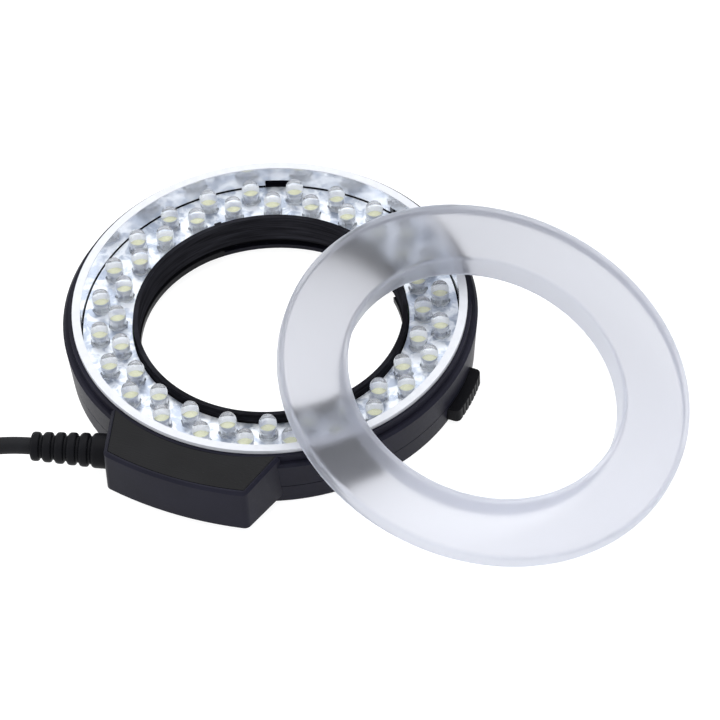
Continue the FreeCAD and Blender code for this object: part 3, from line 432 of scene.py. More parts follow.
def frosted(colour):
    """Frosted diffuser: rough transmission blurs what lies behind, and a thin share of milky plastic,
    larger at the rounded edges as a painted highlight, is mixed over it. Its colour is painted lighter
    towards one side of the ring and darker towards the other, as painted light and shade."""
    material, tree, shader = new_finish("diffuser_frost")
    haze = noise(tree, place(tree), 45, 3, 0.5)
    grain = noise(tree, place(tree), 2600, 3, 0.6)
    x, y, _ = axes(tree, place(tree, shift=tuple(-part for part in DIFFUSER_CENTRE)))
    # Painted light and shade: the colour is lighter towards one side of the ring and darker towards the
    # other.
    across = combine(tree, "ADD", combine(tree, "MULTIPLY", x, -0.72), combine(tree, "MULTIPLY", y, 0.69))
    feed(tree, shader, {
        "Base Color": mottled(tree, across, -0.045, 0.045, toned(colour, 1.13), toned(colour, 0.80)),
        "Roughness": vary(tree, haze, 0.278, 0.292),
        "Transmission Weight": 1.0,
        "IOR": 1.32,
    })
    relief(tree, shader, [(grain, 0.10, 0.00002)])
    pale = (0.75, 0.775, 0.85, 1)
    milk = added(tree, "ShaderNodeBsdfTranslucent", {"Color": pale})
    powder = added(tree, "ShaderNodeBsdfDiffuse", {"Color": pale, "Roughness": 0.3})
    body = added(tree, "ShaderNodeMixShader", {"Fac": 0.4, 1: milk.outputs[0], 2: powder.outputs[0]})
    x, y, _ = axes(tree, place(tree, turn=tuple(DIFFUSER_LEVELLING.to_euler())))
    middle = DIFFUSER_LEVELLING @ Vector(DIFFUSER_CENTRE)
    x = combine(tree, "SUBTRACT", x, middle[0])
    y = combine(tree, "SUBTRACT", y, middle[1])
    reach = from_axis(tree, x, y)
    # Painted highlight: the milky share rises towards the inner and outer rounded edges, paling both rims.
    inner_edge_highlight = spread(tree, reach, DIFFUSER_INNER + 0.0002, DIFFUSER_INNER + 0.0014, 0.34, 0.0)
    outer_edge_highlight = spread(tree, reach, DIFFUSER_OUTER - 0.0014, DIFFUSER_OUTER - 0.0002, 0.0, 0.34)
    edges = combine(tree, "MAXIMUM", inner_edge_highlight, outer_edge_highlight)
    share = combine(tree, "MAXIMUM", edges, vary(tree, haze, 0.055, 0.085))
    mixed = added(tree, "ShaderNodeMixShader", {"Fac": share, 1: shader.outputs[0], 2: body.outputs[0]})
    feed(tree, tree.nodes["Material Output"], {"Surface": mixed.outputs[0]})
    return material


def floor_finish():
    """Plain matt sheet of a light table: nearly white, because most of its light comes from below."""
    material, tree, shader = new_finish("studio_paper")
    fibre = noise(tree, place(tree), 300, 3, 0.5)
    feed(tree, shader, {
        "Base Color": mottled(tree, fibre, 0.3, 0.7, (0.29, 0.29, 0.292), (0.31, 0.31, 0.312)),
        "Roughness": 0.9,
        "Specular IOR Level": 0.1,
        "Emission Color": (1.0, 1.0, 1.0, 1),
        "Emission Strength": 0.88,
    })
    return material


# Meshes, from profiles of (radius, height) and outlines of (radius, height, rounding)

POLE = 0.00004
CORE = 0.0003


def add_piece(name, points, faces, material, body=HEAD, smooth=True):
    """A piece from an array of points and an array of quads, linked at the origin to its body."""
    mesh = bpy.data.meshes.new(name)
    mesh.from_pydata(points.reshape(-1, 3).tolist(), [], faces.tolist())
    mesh.materials.append(material)
    mesh.polygons.foreach_set("use_smooth", np.full(len(mesh.polygons), smooth))
    mesh.update()
    piece = bpy.data.objects.new(name, mesh)
    bpy.context.scene.collection.objects.link(piece)
    if body is not None:
        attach(piece, body)
    return piece


def grid_faces(rows, columns, close_rows=False):
    """Quads of a grid of points whose rows are closed rings; its last row may join the first."""
    row = np.arange(rows if close_rows else rows - 1)
    r, c = np.meshgrid(row, np.arange(columns), indexing="ij")
    r2 = (r + 1) % rows
    c2 = (c + 1) % columns
    quads = np.stack([r * columns + c, r * columns + c2, r2 * columns + c2, r2 * columns + c], axis=-1)
    return quads.reshape(-1, 4)


def copied_faces(faces, copies, points):
    """Faces of copies of a mesh whose points stand one after another."""
    return (faces[None] + np.arange(copies)[:, None, None] * points).reshape(-1, 4)


def capped(grid):
    """Points and faces of a grid, closed at both ends by rings folded to a middle point."""
    columns = grid.shape[1]
    first = np.tile(grid[0].mean(axis=0), (columns, 1))
    last = np.tile(grid[-1].mean(axis=0), (columns, 1))
    return np.vstack([first, grid.reshape(-1, 3), last]), grid_faces(len(grid) + 2, columns)


def frame_about(direction):
    """Two unit vectors that stand square to a direction, and the direction itself."""
    along = Vector(direction).normalized()
    side = Vector((0, 0, 1)).cross(along)
    if side.length < 1e-6:
        side = Vector((1, 0, 0))
    side.normalize()
    return np.array(side), np.array(along.cross(side)), np.array(along)


def circle(count):
    """Equal steps of angle."""
    return np.linspace(0, 2 * math.pi, count, endpoint=False)


def turned_points(profile, sides, origin, direction):
    """A profile of radius and height is carried round an axis: point = origin + radius times (cos, sin)
    across the axis + height along it."""
    across, up, along = frame_about(direction)
    angle = circle(sides)
    radius = profile[:, 0][:, None, None]
    height = profile[:, 1][:, None, None]
    round_way = np.cos(angle)[:, None] * across + np.sin(angle)[:, None] * up
    return np.array(origin) + radius * round_way[None] + height * along


def turned_piece(name, profile, sides, origin, direction, material):
    """A piece of the head, from a profile carried round an axis and closed at both ends."""
    points, faces = capped(turned_points(profile, sides, origin, direction))
    return add_piece(name, points, faces, material)


def softened(corners, steps):
    """A closed outline whose corners (radius, height, rounding) become quarter arcs, each worked out as a
    quadratic curve between the points where the rounding starts and ends."""
    corners = np.array(corners, float)
    here = corners[:, :2]
    back = np.roll(here, 1, axis=0) - here
    ahead = np.roll(here, -1, axis=0) - here
    reach = corners[:, 2:3]
    start = here + back / np.linalg.norm(back, axis=1, keepdims=True) * reach
    end = here + ahead / np.linalg.norm(ahead, axis=1, keepdims=True) * reach
    share = np.linspace(0, 1, steps + 1)[None, :, None]
    middle = 2 * share * (1 - share) * here[:, None]
    curve = (1 - share) ** 2 * start[:, None] + middle + share ** 2 * end[:, None]
    points = curve.reshape(-1, 2)
    keep = np.linalg.norm(points - np.roll(points, 1, axis=0), axis=1) > 1e-7
    return points[keep]


def spun(points, turn):
    """Points turned about an upright axis: x cos - y sin, x sin + y cos, and the same height."""
    x, y, z = points[..., 0], points[..., 1], points[..., 2]
    cosine, sine = np.cos(turn), np.sin(turn)
    turned = x * cosine - y * sine
    return np.stack([turned, x * sine + y * cosine, np.broadcast_to(z, turned.shape)], axis=-1)


def swept_points(path, radius, sides):
    """A circle is carried along a path: each ring stands square to the path's own direction there, and
    the rings are kept from twisting by measuring them from the upright."""
    way = np.gradient(path, axis=0)
    way /= np.linalg.norm(way, axis=1, keepdims=True)
    across = np.cross(np.array([0.0, 0.0, 1.0]), way)
    short = np.linalg.norm(across, axis=1, keepdims=True)
    across = np.where(short > 1e-6, across / np.maximum(short, 1e-9), np.array([1.0, 0.0, 0.0]))
    up = np.cross(way, across)
    angle = circle(sides)[None, :, None]
    return path[:, None] + radius * (np.cos(angle) * across[:, None] + np.sin(angle) * up[:, None])


# Camera

CAMERA_PLACE = (0.3859, -0.7704, 0.9285)
CAMERA_RIGHT = (0.92288, 0.38307, -0.03948)
CAMERA_UP = (-0.25745, 0.68997, 0.67650)
CAMERA_LENS = 225.55
CAMERA_SENSOR = 36


class RINGFLASH_OT_camera(bpy.types.Operator):
    """Set the camera at the photograph's viewing angle"""

    bl_idname = "ring_flash.camera"
    bl_label = "Camera"

    def execute(self, context):
        lens = bpy.data.cameras.new("camera")
        lens.lens = CAMERA_LENS
        lens.sensor_width = CAMERA_SENSOR
        lens.clip_start = 0.05
        lens.clip_end = 20
        camera = bpy.data.objects.new("camera", lens)
        right = Vector(CAMERA_RIGHT).normalized()
        back = right.cross(Vector(CAMERA_UP)).normalized()
        up = back.cross(right)
        turn = Matrix((right, up, back)).transposed()
        camera.matrix_world = Matrix.Translation(CAMERA_PLACE) @ turn.to_4x4()
        context.scene.collection.objects.link(camera)
        context.scene.camera = camera
        return {"FINISHED"}


# Lead

LEAD_ROUTE = [
    (-0.04397, -0.06387, 0.00960),
    (-0.05072, -0.06572, 0.00960),
    (-0.06102, -0.06952, 0.00700),
    (-0.07362, -0.07222, 0.00400),
    (-0.08662, -0.07382, 0.00250),
    (-0.09862, -0.07422, 0.00250),
]
COIL_CENTRE = (-0.09957, -0.04573)
COIL_BASE = 0.00250
COIL_BEARING = -88.09
COIL_REVERSE = 1.25
COIL_CLIMB_START = 1.0
COIL_CLIMB_TURNS = 0.5
TAIL_ROUTE = [
    (-0.12716, -0.03365, 0.00780),
    (-0.12806, -0.02065, 0.00640),
    (-0.12786, -0.00765, 0.00460),
    (-0.12696, 0.00335, 0.00460),
]


def coil_section(sizes, turns):
    """Radius and height of the cord after a number of turns: the radius shrinks by one pitch a turn to the
    middle and grows again above it, and the height steps up by one layer on the way."""
    inward = np.minimum(turns, 2 * COIL_REVERSE - turns)
    share = np.clip((turns - COIL_CLIMB_START) / COIL_CLIMB_TURNS, 0, 1)
    rise = sizes.coil_rise * share * share * (3 - 2 * share)
    return sizes.coil_radius - sizes.coil_pitch * inward, COIL_BASE + rise


def coil_points(sizes, per_turn=20):
    """Points of the coil, at equal steps of bearing round its centre."""
    count = round(sizes.coil_turns * per_turn)
    turns = np.arange(1, count) / per_turn
    radius, height = coil_section(sizes, turns)
    angle = np.radians(COIL_BEARING) - 2 * math.pi * turns
    x = COIL_CENTRE[0] + radius * np.cos(angle)
    y = COIL_CENTRE[1] + radius * np.sin(angle)
    return np.stack([x, y, height], axis=-1)


class RINGFLASH_OT_lead(bpy.types.Operator):
    """Lay the lead from its strain relief to the put-away coil and the plug"""

    bl_idname = "ring_flash.lead"
    bl_label = "Lead"

    def execute(self, context):
        sizes = context.scene.ring_flash_lead
        route = np.vstack([LEAD_ROUTE, coil_points(sizes), TAIL_ROUTE])
        curve = bpy.data.curves.new("lead", "CURVE")
        curve.dimensions = "3D"
        curve.resolution_u = 10
        curve.bevel_depth = sizes.diameter / 2
        curve.bevel_resolution = 5
        curve.use_fill_caps = True
        spline = curve.splines.new("NURBS")
        spline.points.add(len(route) - 1)
        spline.points.foreach_set("co", np.hstack([route, np.ones((len(route), 1))]).ravel())
        spline.order_u = 3
        spline.use_endpoint_u = True
        curve.materials.append(cord_rubber())
        lead = bpy.data.objects.new("lead", curve)
        context.scene.collection.objects.link(lead)
        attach(lead, HEAD)
        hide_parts("cord_lead", "cord_coil", "cord_tail")
        return {"FINISHED"}


# Plug

PLUG_LENGTH = 0.028
PLUG_SIDES = 64
TAIL_LENGTH = 0.007
TAIL_RADIUS = 0.0032
TAIL_GROOVED = 0.0062
TAIL_PITCH = 0.0014
TAIL_DEPTH = 0.0006
GRIP_RADIUS = 0.00445
GRIP_START = 0.010
GRIP_LENGTH = 0.012
GRIP_PITCH = 0.0015
GRIP_DEPTH = 0.00028
SHOULDER = 0.0270
PIN_PROFILE = [
    (CORE, 0.0), (0.00175, 0.0), (0.00175, 0.0046), (0.00168, 0.0047), (0.00168, 0.0053),
    (0.00175, 0.0054), (0.00175, 0.0086), (0.00168, 0.0087), (0.00168, 0.0093), (0.00175, 0.0094),
    (0.00175, 0.0112), (0.00150, 0.0116), (0.00132, 0.0118), (0.00140, 0.0121), (0.00172, 0.0126),
    (0.00150, 0.0132), (0.0009, 0.0137), (CORE, 0.01399),
]


class RINGFLASH_OT_plug(bpy.types.Operator):
    """Make the jack plug with its grip and banded pin"""

    bl_idname = "ring_flash.plug"
    bl_label = "Plug"

    def execute(self, context):
        start = np.array(TAIL_ROUTE[-1])
        way = start - np.array(TAIL_ROUTE[-2])
        way[2] = 0
        way /= np.linalg.norm(way)
        plastic = moulded_plastic("plug_plastic", (0.005, 0.005, 0.0062), 0.42, 1500, 0.00002)
        grip_piece = turned_piece("plug_grip", self.grip_profile(), PLUG_SIDES, start, way, plastic)
        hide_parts("plug_body")
        base = start + way * PLUG_LENGTH
        metal = plated("plug_metal", (0.42, 0.41, 0.385), 0.26, 900, (1, 8, 1))
        pin_piece = turned_piece("plug_contacts", np.array(PIN_PROFILE), 48, base, way, metal)
        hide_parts("plug_pin")
        return {"FINISHED"}

    def grip_profile(self):
        """Radius by distance from the cord: a grooved tail that widens evenly, an even grip with finer
        grooves, and a shoulder that slopes in. A groove is cut wherever its cosine wave passes a level."""
        along = np.linspace(0, PLUG_LENGTH, 113)
        tail = TAIL_RADIUS + 0.0005 * along / TAIL_LENGTH
        wave = 0.5 - 0.5 * np.cos(2 * math.pi * along / TAIL_PITCH)
        tail = np.where(along < TAIL_GROOVED, tail - TAIL_DEPTH * (wave > 0.55), tail)
        share = (along - GRIP_START) / GRIP_LENGTH
        grooved = np.cos(2 * math.pi * (along - GRIP_START) / GRIP_PITCH) < -0.2
        grip = GRIP_RADIUS - GRIP_DEPTH * (grooved & (share > 0) & (share < 1))
        radius = np.where(along < TAIL_LENGTH, tail, grip)
        radius = np.where(along > SHOULDER, GRIP_RADIUS - (along - SHOULDER) * 0.9, radius)
        profile = np.stack([radius, along], axis=-1)
        return np.vstack([[[CORE, 0.0]], profile, [[CORE, PLUG_LENGTH]]])


# Strain relief

RELIEF_START = (-0.02304, -0.05815, 0.0096)
RELIEF_WAY = (-0.96461, -0.26370, 0.0)
RELIEF_NECK = [
    (CORE, -0.00275, 0), (0.0034, -0.00275, 0.0002), (0.0034, -0.00185, 0.0001),
    (0.0030, -0.00185, 0), (0.0030, 0.0, 0),
]
RELIEF_RADIUS = 0.00485
RELIEF_COLLAR = 0.0046
RELIEF_END = 0.0217
RIB_COUNT = 5
RIB_PITCH = 0.0034
RIB_DEPTH = 0.00085
RIB_TAPER = 0.00016


class RINGFLASH_OT_strain_relief(bpy.types.Operator):
    """Make the moulded strain relief with its collar and five ribs"""

    bl_idname = "ring_flash.strain_relief"
    bl_label = "Strain relief"

    def execute(self, context):
        rubber = moulded_plastic("relief_rubber", (0.0034, 0.0034, 0.0044), 0.46, 1600, 0.00003)
        profile = softened(self.outline(), 6)
        piece = turned_piece("relief_ribs", profile, 64, RELIEF_START, RELIEF_WAY, rubber)
        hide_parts("strain_relief")
        return {"FINISHED"}

    def outline(self):
        """Neck in the wall, collar, then grooved ribs of even pitch that narrow by equal steps."""
        outline = RELIEF_NECK + [(RELIEF_RADIUS, 0.0, 0.0002), (RELIEF_RADIUS, RELIEF_COLLAR, 0.0011)]
        for index in range(RIB_COUNT):
            begin = RELIEF_COLLAR + RIB_PITCH * index
            radius = RELIEF_RADIUS - RIB_TAPER * (index + 1)
            groove = radius - RIB_DEPTH
            outline += [(groove, begin + 0.0002, 0.0003), (groove, begin + 0.0010, 0.0003)]
            outline += [(radius, begin + 0.0008, 0.0010), (radius, begin + RIB_PITCH, 0.0010)]
        return outline + [(CORE, RELIEF_END, 0)]


# Lamps

LAMP_LEAN = 0.014


class RINGFLASH_OT_lamps(bpy.types.Operator):
    """Make the two rows of clear lamps with their chips, cups, posts and seats"""

    bl_idname = "ring_flash.lamps"
    bl_label = "Lamps"

    def execute(self, context):
        sizes = context.scene.ring_flash_head
        count = sizes.lamps_in_row
        resin = lamp_clear()
        chip = lamp_chip(tuple(context.scene.ring_flash_colours.phosphor))
        seat = lamp_seat()
        chance = np.random.default_rng(24)
        rows = (
            ("inner", sizes.inner_row, 0.5, "leds_inner_row"),
            ("outer", sizes.outer_row, 0.0, "leds_outer_row"),
        )
        for name, reach, offset, node in rows:
            row = (sizes, reach, 2 * math.pi * (np.arange(count) + offset) / count)
            leans = chance.normal(0, LAMP_LEAN, (count, 2))
            dome = self.turned_copies("lamp_domes_" + name, self.dome_profile(sizes), 32, row, leans, resin)
            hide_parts(node)
            inside = (
                ("lamp_chips_", self.chip_profile(sizes), 16, chip),
                ("lamp_cups_", self.cup_profile(sizes), 20, seat),
                ("lamp_posts_", self.post_profile(sizes), 4, seat),
                ("lamp_seats_", self.seat_profile(sizes), 32, seat),
            )
            for part, profile, sides, finish in inside:
                piece = self.turned_copies(part + name, profile, sides, row, leans, finish)
        return {"FINISHED"}

    def dome_profile(self, sizes):
        """Straight side, then a half circle of the lamp's own radius up to the tip."""
        radius = sizes.lamp_radius
        foot = sizes.seat_level - 0.0004
        angle = np.linspace(0, math.pi / 2, 13)[:-1]
        level = sizes.lamp_top - radius
        arc = np.stack([radius * np.cos(angle), level + radius * np.sin(angle)], axis=-1)
        return np.vstack([[[radius * 0.04, foot], [radius, foot]], arc, [[radius * 0.03, sizes.lamp_top]]])

    def chip_profile(self, sizes):
        """Low disc in the mouth of the cup, bulging with one less the square of the share of its radius."""
        level = sizes.chip_level
        share = np.linspace(1, 0.05, 5)
        crown = np.stack([0.00110 * share, level + 0.00022 * (1 - share ** 2)], axis=-1)
        return np.vstack([[[0.00005, level - 0.0003], [0.00110, level - 0.0003]], crown])

    def cup_profile(self, sizes):
        """Cone that widens upwards round the chip, on a round stem."""
        level = sizes.chip_level
        return np.array([
            (POLE, level - 0.00085), (0.00105, level - 0.00085), (0.00118, level - 0.0005),
            (0.00156, level + 0.00042), (0.00148, level + 0.00042), (0.00114, level - 0.00028),
            (POLE, level - 0.00030),
        ])

    def post_profile(self, sizes):
        """Square post that carries the cup."""
        foot = sizes.seat_level - 0.0002
        top = sizes.chip_level - 0.0008
        return np.array([(POLE, foot), (0.00098, foot), (0.00098, top), (POLE, top)])

    def seat_profile(self, sizes):
        """Opaque foot from the board up to just above the tray, with a rounded edge."""
        edge = sizes.lamp_radius + 0.00002
        base = sizes.lamp_base + 0.00002
        top = sizes.seat_level
        return np.array([
            (POLE, base), (edge, base), (edge, top - 0.0002),
            (edge - 0.00006, top - 0.00006), (edge - 0.0002, top), (POLE, top),
        ])

    def turned_copies(self, name, profile, sides, row, leans, material):
        """A turned profile at each lamp's place in a row, sheared a little from its foot by the lamp's
        own lean: x and y move by the lean times the height above the seat."""
        sizes, reach, turns = row
        points, faces = capped(turned_points(profile, sides, (reach, 0, 0), (0, 0, 1)))
        every = spun(points[None], turns[:, None])
        lift = np.maximum(every[:, :, 2:3] - sizes.seat_level, 0)
        every[:, :, :2] += lift * leans[:, None]
        quads = copied_faces(faces, len(turns), len(points))
        return add_piece(name, every, quads, material, smooth=sides > 4)


# Diffuser

BORE_OUTSIDE = 0.0398
LIP_INSIDE = 0.0564
PLATE_DEPTH = 0.0012
BORE_DEPTH = 0.0080
LIP_DEPTH = 0.0046
EDGE_ROUNDING = 0.0003
CORNER_ROUNDING = 0.0006


class RINGFLASH_OT_diffuser(bpy.types.Operator):
    """Make the frosted diffuser that leans on the head"""

    bl_idname = "ring_flash.diffuser"
    bl_label = "Diffuser"

    def execute(self, context):
        outline = [
            (DIFFUSER_INNER, -BORE_DEPTH, EDGE_ROUNDING), (BORE_OUTSIDE, -BORE_DEPTH, EDGE_ROUNDING),
            (BORE_OUTSIDE, -PLATE_DEPTH, CORNER_ROUNDING), (LIP_INSIDE, -PLATE_DEPTH, CORNER_ROUNDING),
            (LIP_INSIDE, -LIP_DEPTH, EDGE_ROUNDING), (DIFFUSER_OUTER, -LIP_DEPTH, EDGE_ROUNDING),
            (DIFFUSER_OUTER, 0.0, 0.0016), (DIFFUSER_INNER, 0.0, 0.0012),
        ]
        points = turned_points(softened(outline, 7), 288, DIFFUSER_CENTRE, DIFFUSER_AXIS)
        faces = grid_faces(*points.shape[:2], close_rows=True)
        frost = frosted(tuple(context.scene.ring_flash_colours.frost))
        piece = add_piece("frosted_diffuser", points, faces, frost, DIFFUSER)
        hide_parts("diffuser")
        return {"FINISHED"}


# Screws

SCREW_SEATS = [
    (0.008, 0.0523, 0.0), (-0.008, 0.0523, 0.0), (0.0125, -0.0628, 0.0024), (-0.0125, -0.0628, 0.0024),
]
SCREW_TURNS = [0.3, 1.1, -0.2, 0.8]
SCREW_SIDES = 96
SCREW_EDGE = [
    (0.00165, 0.00006), (0.00176, 0.00018), (0.0018, 0.00036), (0.0018, 0.0012), (0.00095, 0.0012),
]
SCREW_SHANK = [(0.00095, 0.0079), (0.0008, 0.0083), (POLE, 0.0084)]
SCREW_SINK = 0.000025


class RINGFLASH_OT_screws(bpy.types.Operator):
    """Make the cross-head screws in the rear"""

    bl_idname = "ring_flash.screws"
    bl_label = "Screws"

    def execute(self, context):
        face = [(radius, 0.0) for radius in np.linspace(POLE, 0.00150, 26)]
        profile = np.array(face + SCREW_EDGE + SCREW_SHANK)
        radius = profile[:, 0:1]
        height = profile[:, 1:2]
        angle = circle(SCREW_SIDES)
        x = radius * np.cos(angle)
        y = radius * np.sin(angle)
        z = np.broadcast_to(height, x.shape) + self.recess(x, y) * (height < 0.0001)
        one = np.stack([x, -y, z + SCREW_SINK], axis=-1)
        turn = np.array(SCREW_TURNS)[:, None, None]
        closed = [capped(screw) for screw in spun(one, turn) + np.array(SCREW_SEATS)[:, None, None]]
        every = np.stack([points for points, _ in closed])
        quads = copied_faces(closed[0][1], len(closed), every.shape[1])
        steel = plated("screw_steel", (0.42, 0.42, 0.44), 0.3, 1500)
        piece = add_piece("cross_head_screws", every, quads, steel)
        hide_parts("rear_screws")
        return {"FINISHED"}

    def recess(self, x, y):
        """Depth of the cross: full where the distance into either arm is more than the slope's half
        width, and falling to nothing across the slope."""
        wide, long, slope, depth = 0.00022, 0.00095, 0.00014, 0.00062
        level = np.maximum(np.abs(x) - wide, np.abs(y) - long)
        upright = np.maximum(np.abs(y) - wide, np.abs(x) - long)
        return depth * np.clip(0.5 - np.minimum(level, upright) / slope, 0, 1)


# Tie

TIE_BEARING = 230.0
TIE_WIDTH = 0.0036
TIE_INSIDE = 0.00004
TIE_OUTSIDE = 0.00050
TIE_BEVEL = 0.0003
TIE_SIDES = 96
TWIST_LENGTH = 0.0135
TWIST_REACH = 0.0006
TWIST_PARTING = 0.0022
TWIST_WOUND = 0.7
STRAND_RADIUS = 0.00055


class RINGFLASH_OT_tie(bpy.types.Operator):
    """Hold the coil with a twisted tie"""

    bl_idname = "ring_flash.tie"
    bl_label = "Coil tie"

    def execute(self, context):
        sizes = context.scene.ring_flash_lead
        first = ((COIL_BEARING - TIE_BEARING) / 360) % 1
        turns = np.arange(first, sizes.coil_turns, 1)
        centres = np.stack(coil_section(sizes, turns), axis=-1)
        bearing = math.radians(TIE_BEARING)
        outward = np.array([math.cos(bearing), math.sin(bearing), 0])
        sideways = np.array([-outward[1], outward[0], 0])
        upward = np.array([0, 0, 1])
        middle = np.array([*COIL_CENTRE, 0])
        inner = self.outline(centres, sizes.diameter / 2 + TIE_INSIDE)
        outer = self.outline(centres, sizes.diameter / 2 + TIE_OUTSIDE)
        inner[:, 1] = np.maximum(inner[:, 1], 0.00005)
        outer[:, 1] = np.maximum(outer[:, 1], 0.00002)
        half = TIE_WIDTH / 2
        section = (
            (inner, -half), (outer, -half + TIE_BEVEL), (outer, -half * 0.3),
            (outer, half * 0.3), (outer, half - TIE_BEVEL), (inner, half),
        )
        band = np.stack([
            middle + edge[:, :1] * outward + edge[:, 1:] * upward + shift * sideways
            for edge, shift in section
        ])
        start = middle + outward * (inner[:, 0].min() - 0.0002) + upward * (centres[:, 1].mean() + 0.001)
        strands, links = self.twist(start, -outward, sideways)
        points = np.vstack([band.reshape(-1, 3), strands])
        loops = grid_faces(len(band), TIE_SIDES, close_rows=True)
        faces = np.vstack([loops, links + len(band) * TIE_SIDES])
        plastic = moulded_plastic("tie_plastic", (0.010, 0.010, 0.012), 0.3, 900, 0.00003)
        piece = add_piece("coil_tie", points, faces, plastic)
        return {"FINISHED"}

    def outline(self, centres, radius):
        """Taut loop round the cords: in each direction, the point of the farthest cord's circle."""
        angle = circle(TIE_SIDES)
        way = np.stack([np.cos(angle), np.sin(angle)], axis=-1)
        farthest = np.argmax(way @ centres.T, axis=1)
        return centres[farthest] + radius * way

    def twist(self, start, along, sideways):
        """Two strands go round each other on a helix of two turns, then part, the one up and the other
        to the side."""
        share = np.linspace(0, 1, 60)
        upright = np.cross(along, sideways)
        wound = np.clip(share / TWIST_WOUND, 0, 1)
        free = np.clip((share - TWIST_WOUND) / (1 - TWIST_WOUND), 0, 1)
        reach = TWIST_REACH + TWIST_PARTING * free ** 2
        strands = []
        for phase in (0, math.pi):
            angle = phase + 4 * math.pi * wound
            path = start + along * (TWIST_LENGTH * share)[:, None]
            path = path + sideways * (reach * np.cos(angle))[:, None]
            path = path + upright * (reach * np.sin(angle))[:, None]
            strands.append(capped(swept_points(path, STRAND_RADIUS, 10)))
        points = np.stack([strand for strand, _ in strands])
        return points.reshape(-1, 3), copied_faces(strands[0][1], 2, points.shape[1])


# Springs

SPRING_NEAR = 0.0449
SPRING_FAR = 0.0515
SPRING_HEIGHT = 0.0036
SPRING_RADIUS = 0.00172
SPRING_WIRE = 0.00026
SPRING_TURNS = 7
SPRING_CLOSED = 0.08


class RINGFLASH_OT_springs(bpy.types.Operator):
    """Wind the two return springs between their posts and the buttons"""

    bl_idname = "ring_flash.springs"
    bl_label = "Return springs"

    def execute(self, context):
        metal = plated("spring_steel", (0.62, 0.63, 0.66), 0.28, 1500)
        for name, way in (("right", 1), ("left", -1)):
            points, faces = capped(swept_points(self.helix(way), SPRING_WIRE, 8))
            piece = add_piece("wound_spring_" + name, points, faces, metal)
            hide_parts(name + "_spring")
            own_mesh(piece)
        return {"FINISHED"}

    def helix(self, way):
        """x runs from the post to the button, slower over the first and last turn that lie closed;
        y and z go round a circle."""
        share = np.linspace(0, 1, SPRING_TURNS * 20 + 1)
        turn = 2 * math.pi * SPRING_TURNS * share
        opened = np.clip((share - SPRING_CLOSED) / (1 - 2 * SPRING_CLOSED), 0, 1)
        eased = 0.5 - 0.5 * np.cos(math.pi * opened)
        along = 0.3 * share + 0.7 * (0.6 * opened + 0.4 * eased)
        x = way * (SPRING_NEAR + SPRING_WIRE + (SPRING_FAR - SPRING_NEAR - 2 * SPRING_WIRE) * along)
        y = SPRING_RADIUS * np.cos(turn)
        z = SPRING_HEIGHT + SPRING_RADIUS * np.sin(turn)
        return np.stack([x, y, z], axis=-1)


# Block

BLOCK_TOP = 0.01872
BLOCK_END = 0.0181


class RINGFLASH_OT_block(bpy.types.Operator):
    """Make the shell of the block, without the thin fins at its inner ends"""

    bl_idname = "ring_flash.block"
    bl_label = "Block shell"

    def execute(self, context):
        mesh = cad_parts["block_housing"].data.copy()
        mesh.name = "block_shell"
        points = np.empty(len(mesh.vertices) * 3)
        mesh.vertices.foreach_get("co", points)
        height = points[2::3]
        points[2::3] = np.where(height > BLOCK_TOP, BLOCK_END, height)
        mesh.vertices.foreach_set("co", points)
        mesh.update()
        piece = bpy.data.objects.new("block_shell", mesh)
        context.scene.collection.objects.link(piece)
        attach(piece, HEAD)
        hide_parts("block_housing")
        return {"FINISHED"}


# Finishes of the solids that are kept

class RINGFLASH_OT_finishes(bpy.types.Operator):
    """Give every kept solid its own finish"""

    bl_idname = "ring_flash.finishes"
    bl_label = "Finishes"

    def execute(self, context):
        colours = context.scene.ring_flash_colours
        housing = moulded_plastic("housing_plastic", tuple(colours.housing), 0.40, 1300, 0.00003)
        parts = moulded_plastic("parts_black", (0.012, 0.012, 0.014), 0.35, 1800, 0.00002)
        slide = moulded_plastic("slide_plastic", (0.0045, 0.0045, 0.0055), 0.36, 1200, 0.00002)
        button = moulded_plastic("button_plastic", (0.0030, 0.0030, 0.0040), 0.45, 1700, 0.00003)
        retainer = moulded_plastic("retainer_plastic", (0.010, 0.010, 0.012), 0.42, 1200, 0.00002)
        finishes = {
            housing: ["rear_cover", "front_housing"],
            barrel_plastic(tuple(colours.barrel)): ["inner_barrel"],
            plate_gloss(): ["block_plate"],
            reflector_white(tuple(colours.rim)): ["reflector_ring"],
            tray_silver(): ["led_tray"],
            board_green(): ["led_board", "driver_board"],
            parts: ["driver_parts"],
            plated("copper", (0.72, 0.38, 0.22), 0.3, 900): ["board_wires"],
            slide: ["right_latch_slide", "left_latch_slide"],
            button: ["right_button", "left_button"],
            retainer: ["latch_retainer"],
        }
        meshes = [(bpy.data.objects["block_shell"].data, housing)]
        for material, nodes in finishes.items():
            meshes += [(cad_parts[node].data, material) for node in nodes]
        for mesh, material in meshes:
            mesh.materials.clear()
            mesh.materials.append(material)
        return {"FINISHED"}


# Stage

FLOOR_REACH = 4.0
LIGHTS = (
    ("top_box", (-0.1, 0.3, 1.4), 1.6, 11.5),
    ("left_box", (-1.3, -0.5, 0.9), 1.0, 6.0),
    ("back_box", (0.4, 1.5, 0.8), 1.2, 6.0),
)


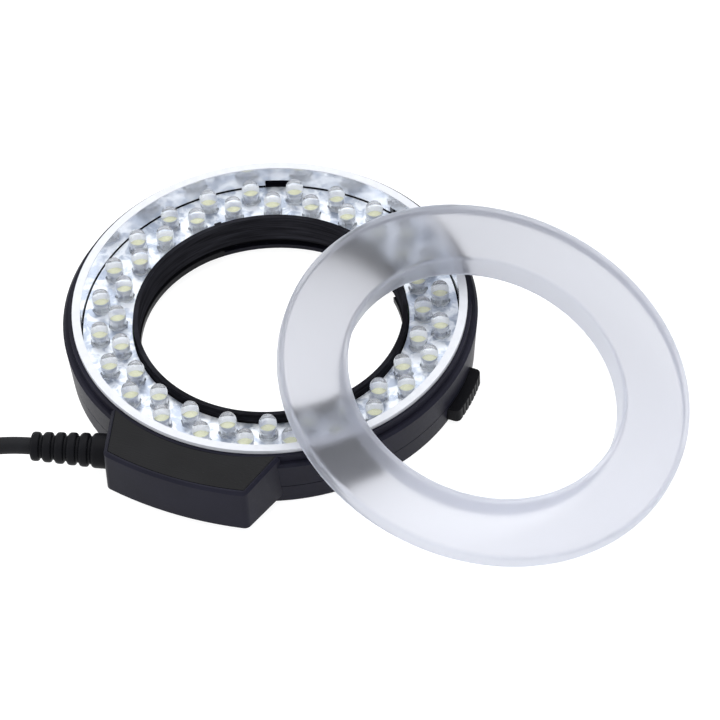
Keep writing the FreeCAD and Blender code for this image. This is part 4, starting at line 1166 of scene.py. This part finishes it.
class RINGFLASH_OT_stage(bpy.types.Operator):
    """Set the pale floor and the soft studio light"""

    bl_idname = "ring_flash.stage"
    bl_label = "Stage"

    def execute(self, context):
        corners = FLOOR_REACH * np.array([(-1, -1, 0), (1, -1, 0), (1, 1, 0), (-1, 1, 0)], float)
        floor = add_piece("floor", corners, np.array([[0, 1, 2, 3]]), floor_finish(), None)
        world = bpy.data.worlds.new("studio")
        world.use_nodes = True
        background = world.node_tree.nodes["Background"]
        feed(world.node_tree, background, {"Color": (0.95, 0.97, 1.0, 1), "Strength": 1.15})
        context.scene.world = world
        for name, where, size, power in LIGHTS:
            lamp = bpy.data.lights.new(name, "AREA")
            lamp.shape = "SQUARE"
            lamp.size = size
            lamp.energy = power
            light = bpy.data.objects.new(name, lamp)
            turn = (-Vector(where)).to_track_quat("-Z", "Y")
            light.matrix_world = Matrix.Translation(where) @ turn.to_matrix().to_4x4()
            context.scene.collection.objects.link(light)
        context.scene.view_settings.view_transform = "Standard"
        return {"FINISHED"}


# Panel

class RINGFLASH_PT_panel(bpy.types.Panel):
    """Buttons for the pieces of the ring flash."""

    bl_idname = "RINGFLASH_PT_panel"
    bl_label = "Ring flash"
    bl_space_type = "VIEW_3D"
    bl_region_type = "UI"
    bl_category = "Ring flash"

    def draw(self, context):
        scene = context.scene
        for group in (scene.ring_flash_head, scene.ring_flash_lead, scene.ring_flash_colours):
            box = self.layout.box()
            for name in group.__annotations__:
                box.prop(group, name)
        for operator in OPERATORS:
            self.layout.operator(operator.bl_idname)


OPERATORS = (
    RINGFLASH_OT_camera,
    RINGFLASH_OT_plug,
    RINGFLASH_OT_tie,
    RINGFLASH_OT_lead,
    RINGFLASH_OT_strain_relief,
    RINGFLASH_OT_lamps,
    RINGFLASH_OT_diffuser,
    RINGFLASH_OT_springs,
    RINGFLASH_OT_screws,
    RINGFLASH_OT_block,
    RINGFLASH_OT_finishes,
    RINGFLASH_OT_stage,
)
GROUPS = (HeadSizes, LeadSizes, FinishColours)


def register():
    for kind in GROUPS + OPERATORS + (RINGFLASH_PT_panel,):
        bpy.utils.register_class(kind)
    bpy.types.Scene.ring_flash_head = PointerProperty(type=HeadSizes)
    bpy.types.Scene.ring_flash_lead = PointerProperty(type=LeadSizes)
    bpy.types.Scene.ring_flash_colours = PointerProperty(type=FinishColours)


def unregister():
    del bpy.types.Scene.ring_flash_head
    del bpy.types.Scene.ring_flash_lead
    del bpy.types.Scene.ring_flash_colours
    for kind in reversed(GROUPS + OPERATORS + (RINGFLASH_PT_panel,)):
        bpy.utils.unregister_class(kind)


def main():
    """Make every piece."""
    register()
    bpy.ops.ring_flash.camera()
    bpy.ops.ring_flash.plug()
    bpy.ops.ring_flash.tie()
    bpy.ops.ring_flash.lead()
    bpy.ops.ring_flash.strain_relief()
    bpy.ops.ring_flash.lamps()
    bpy.ops.ring_flash.diffuser()
    bpy.ops.ring_flash.springs()
    bpy.ops.ring_flash.screws()
    bpy.ops.ring_flash.block()
    bpy.ops.ring_flash.finishes()
    bpy.ops.ring_flash.stage()


if __name__ == "__main__":
    main()
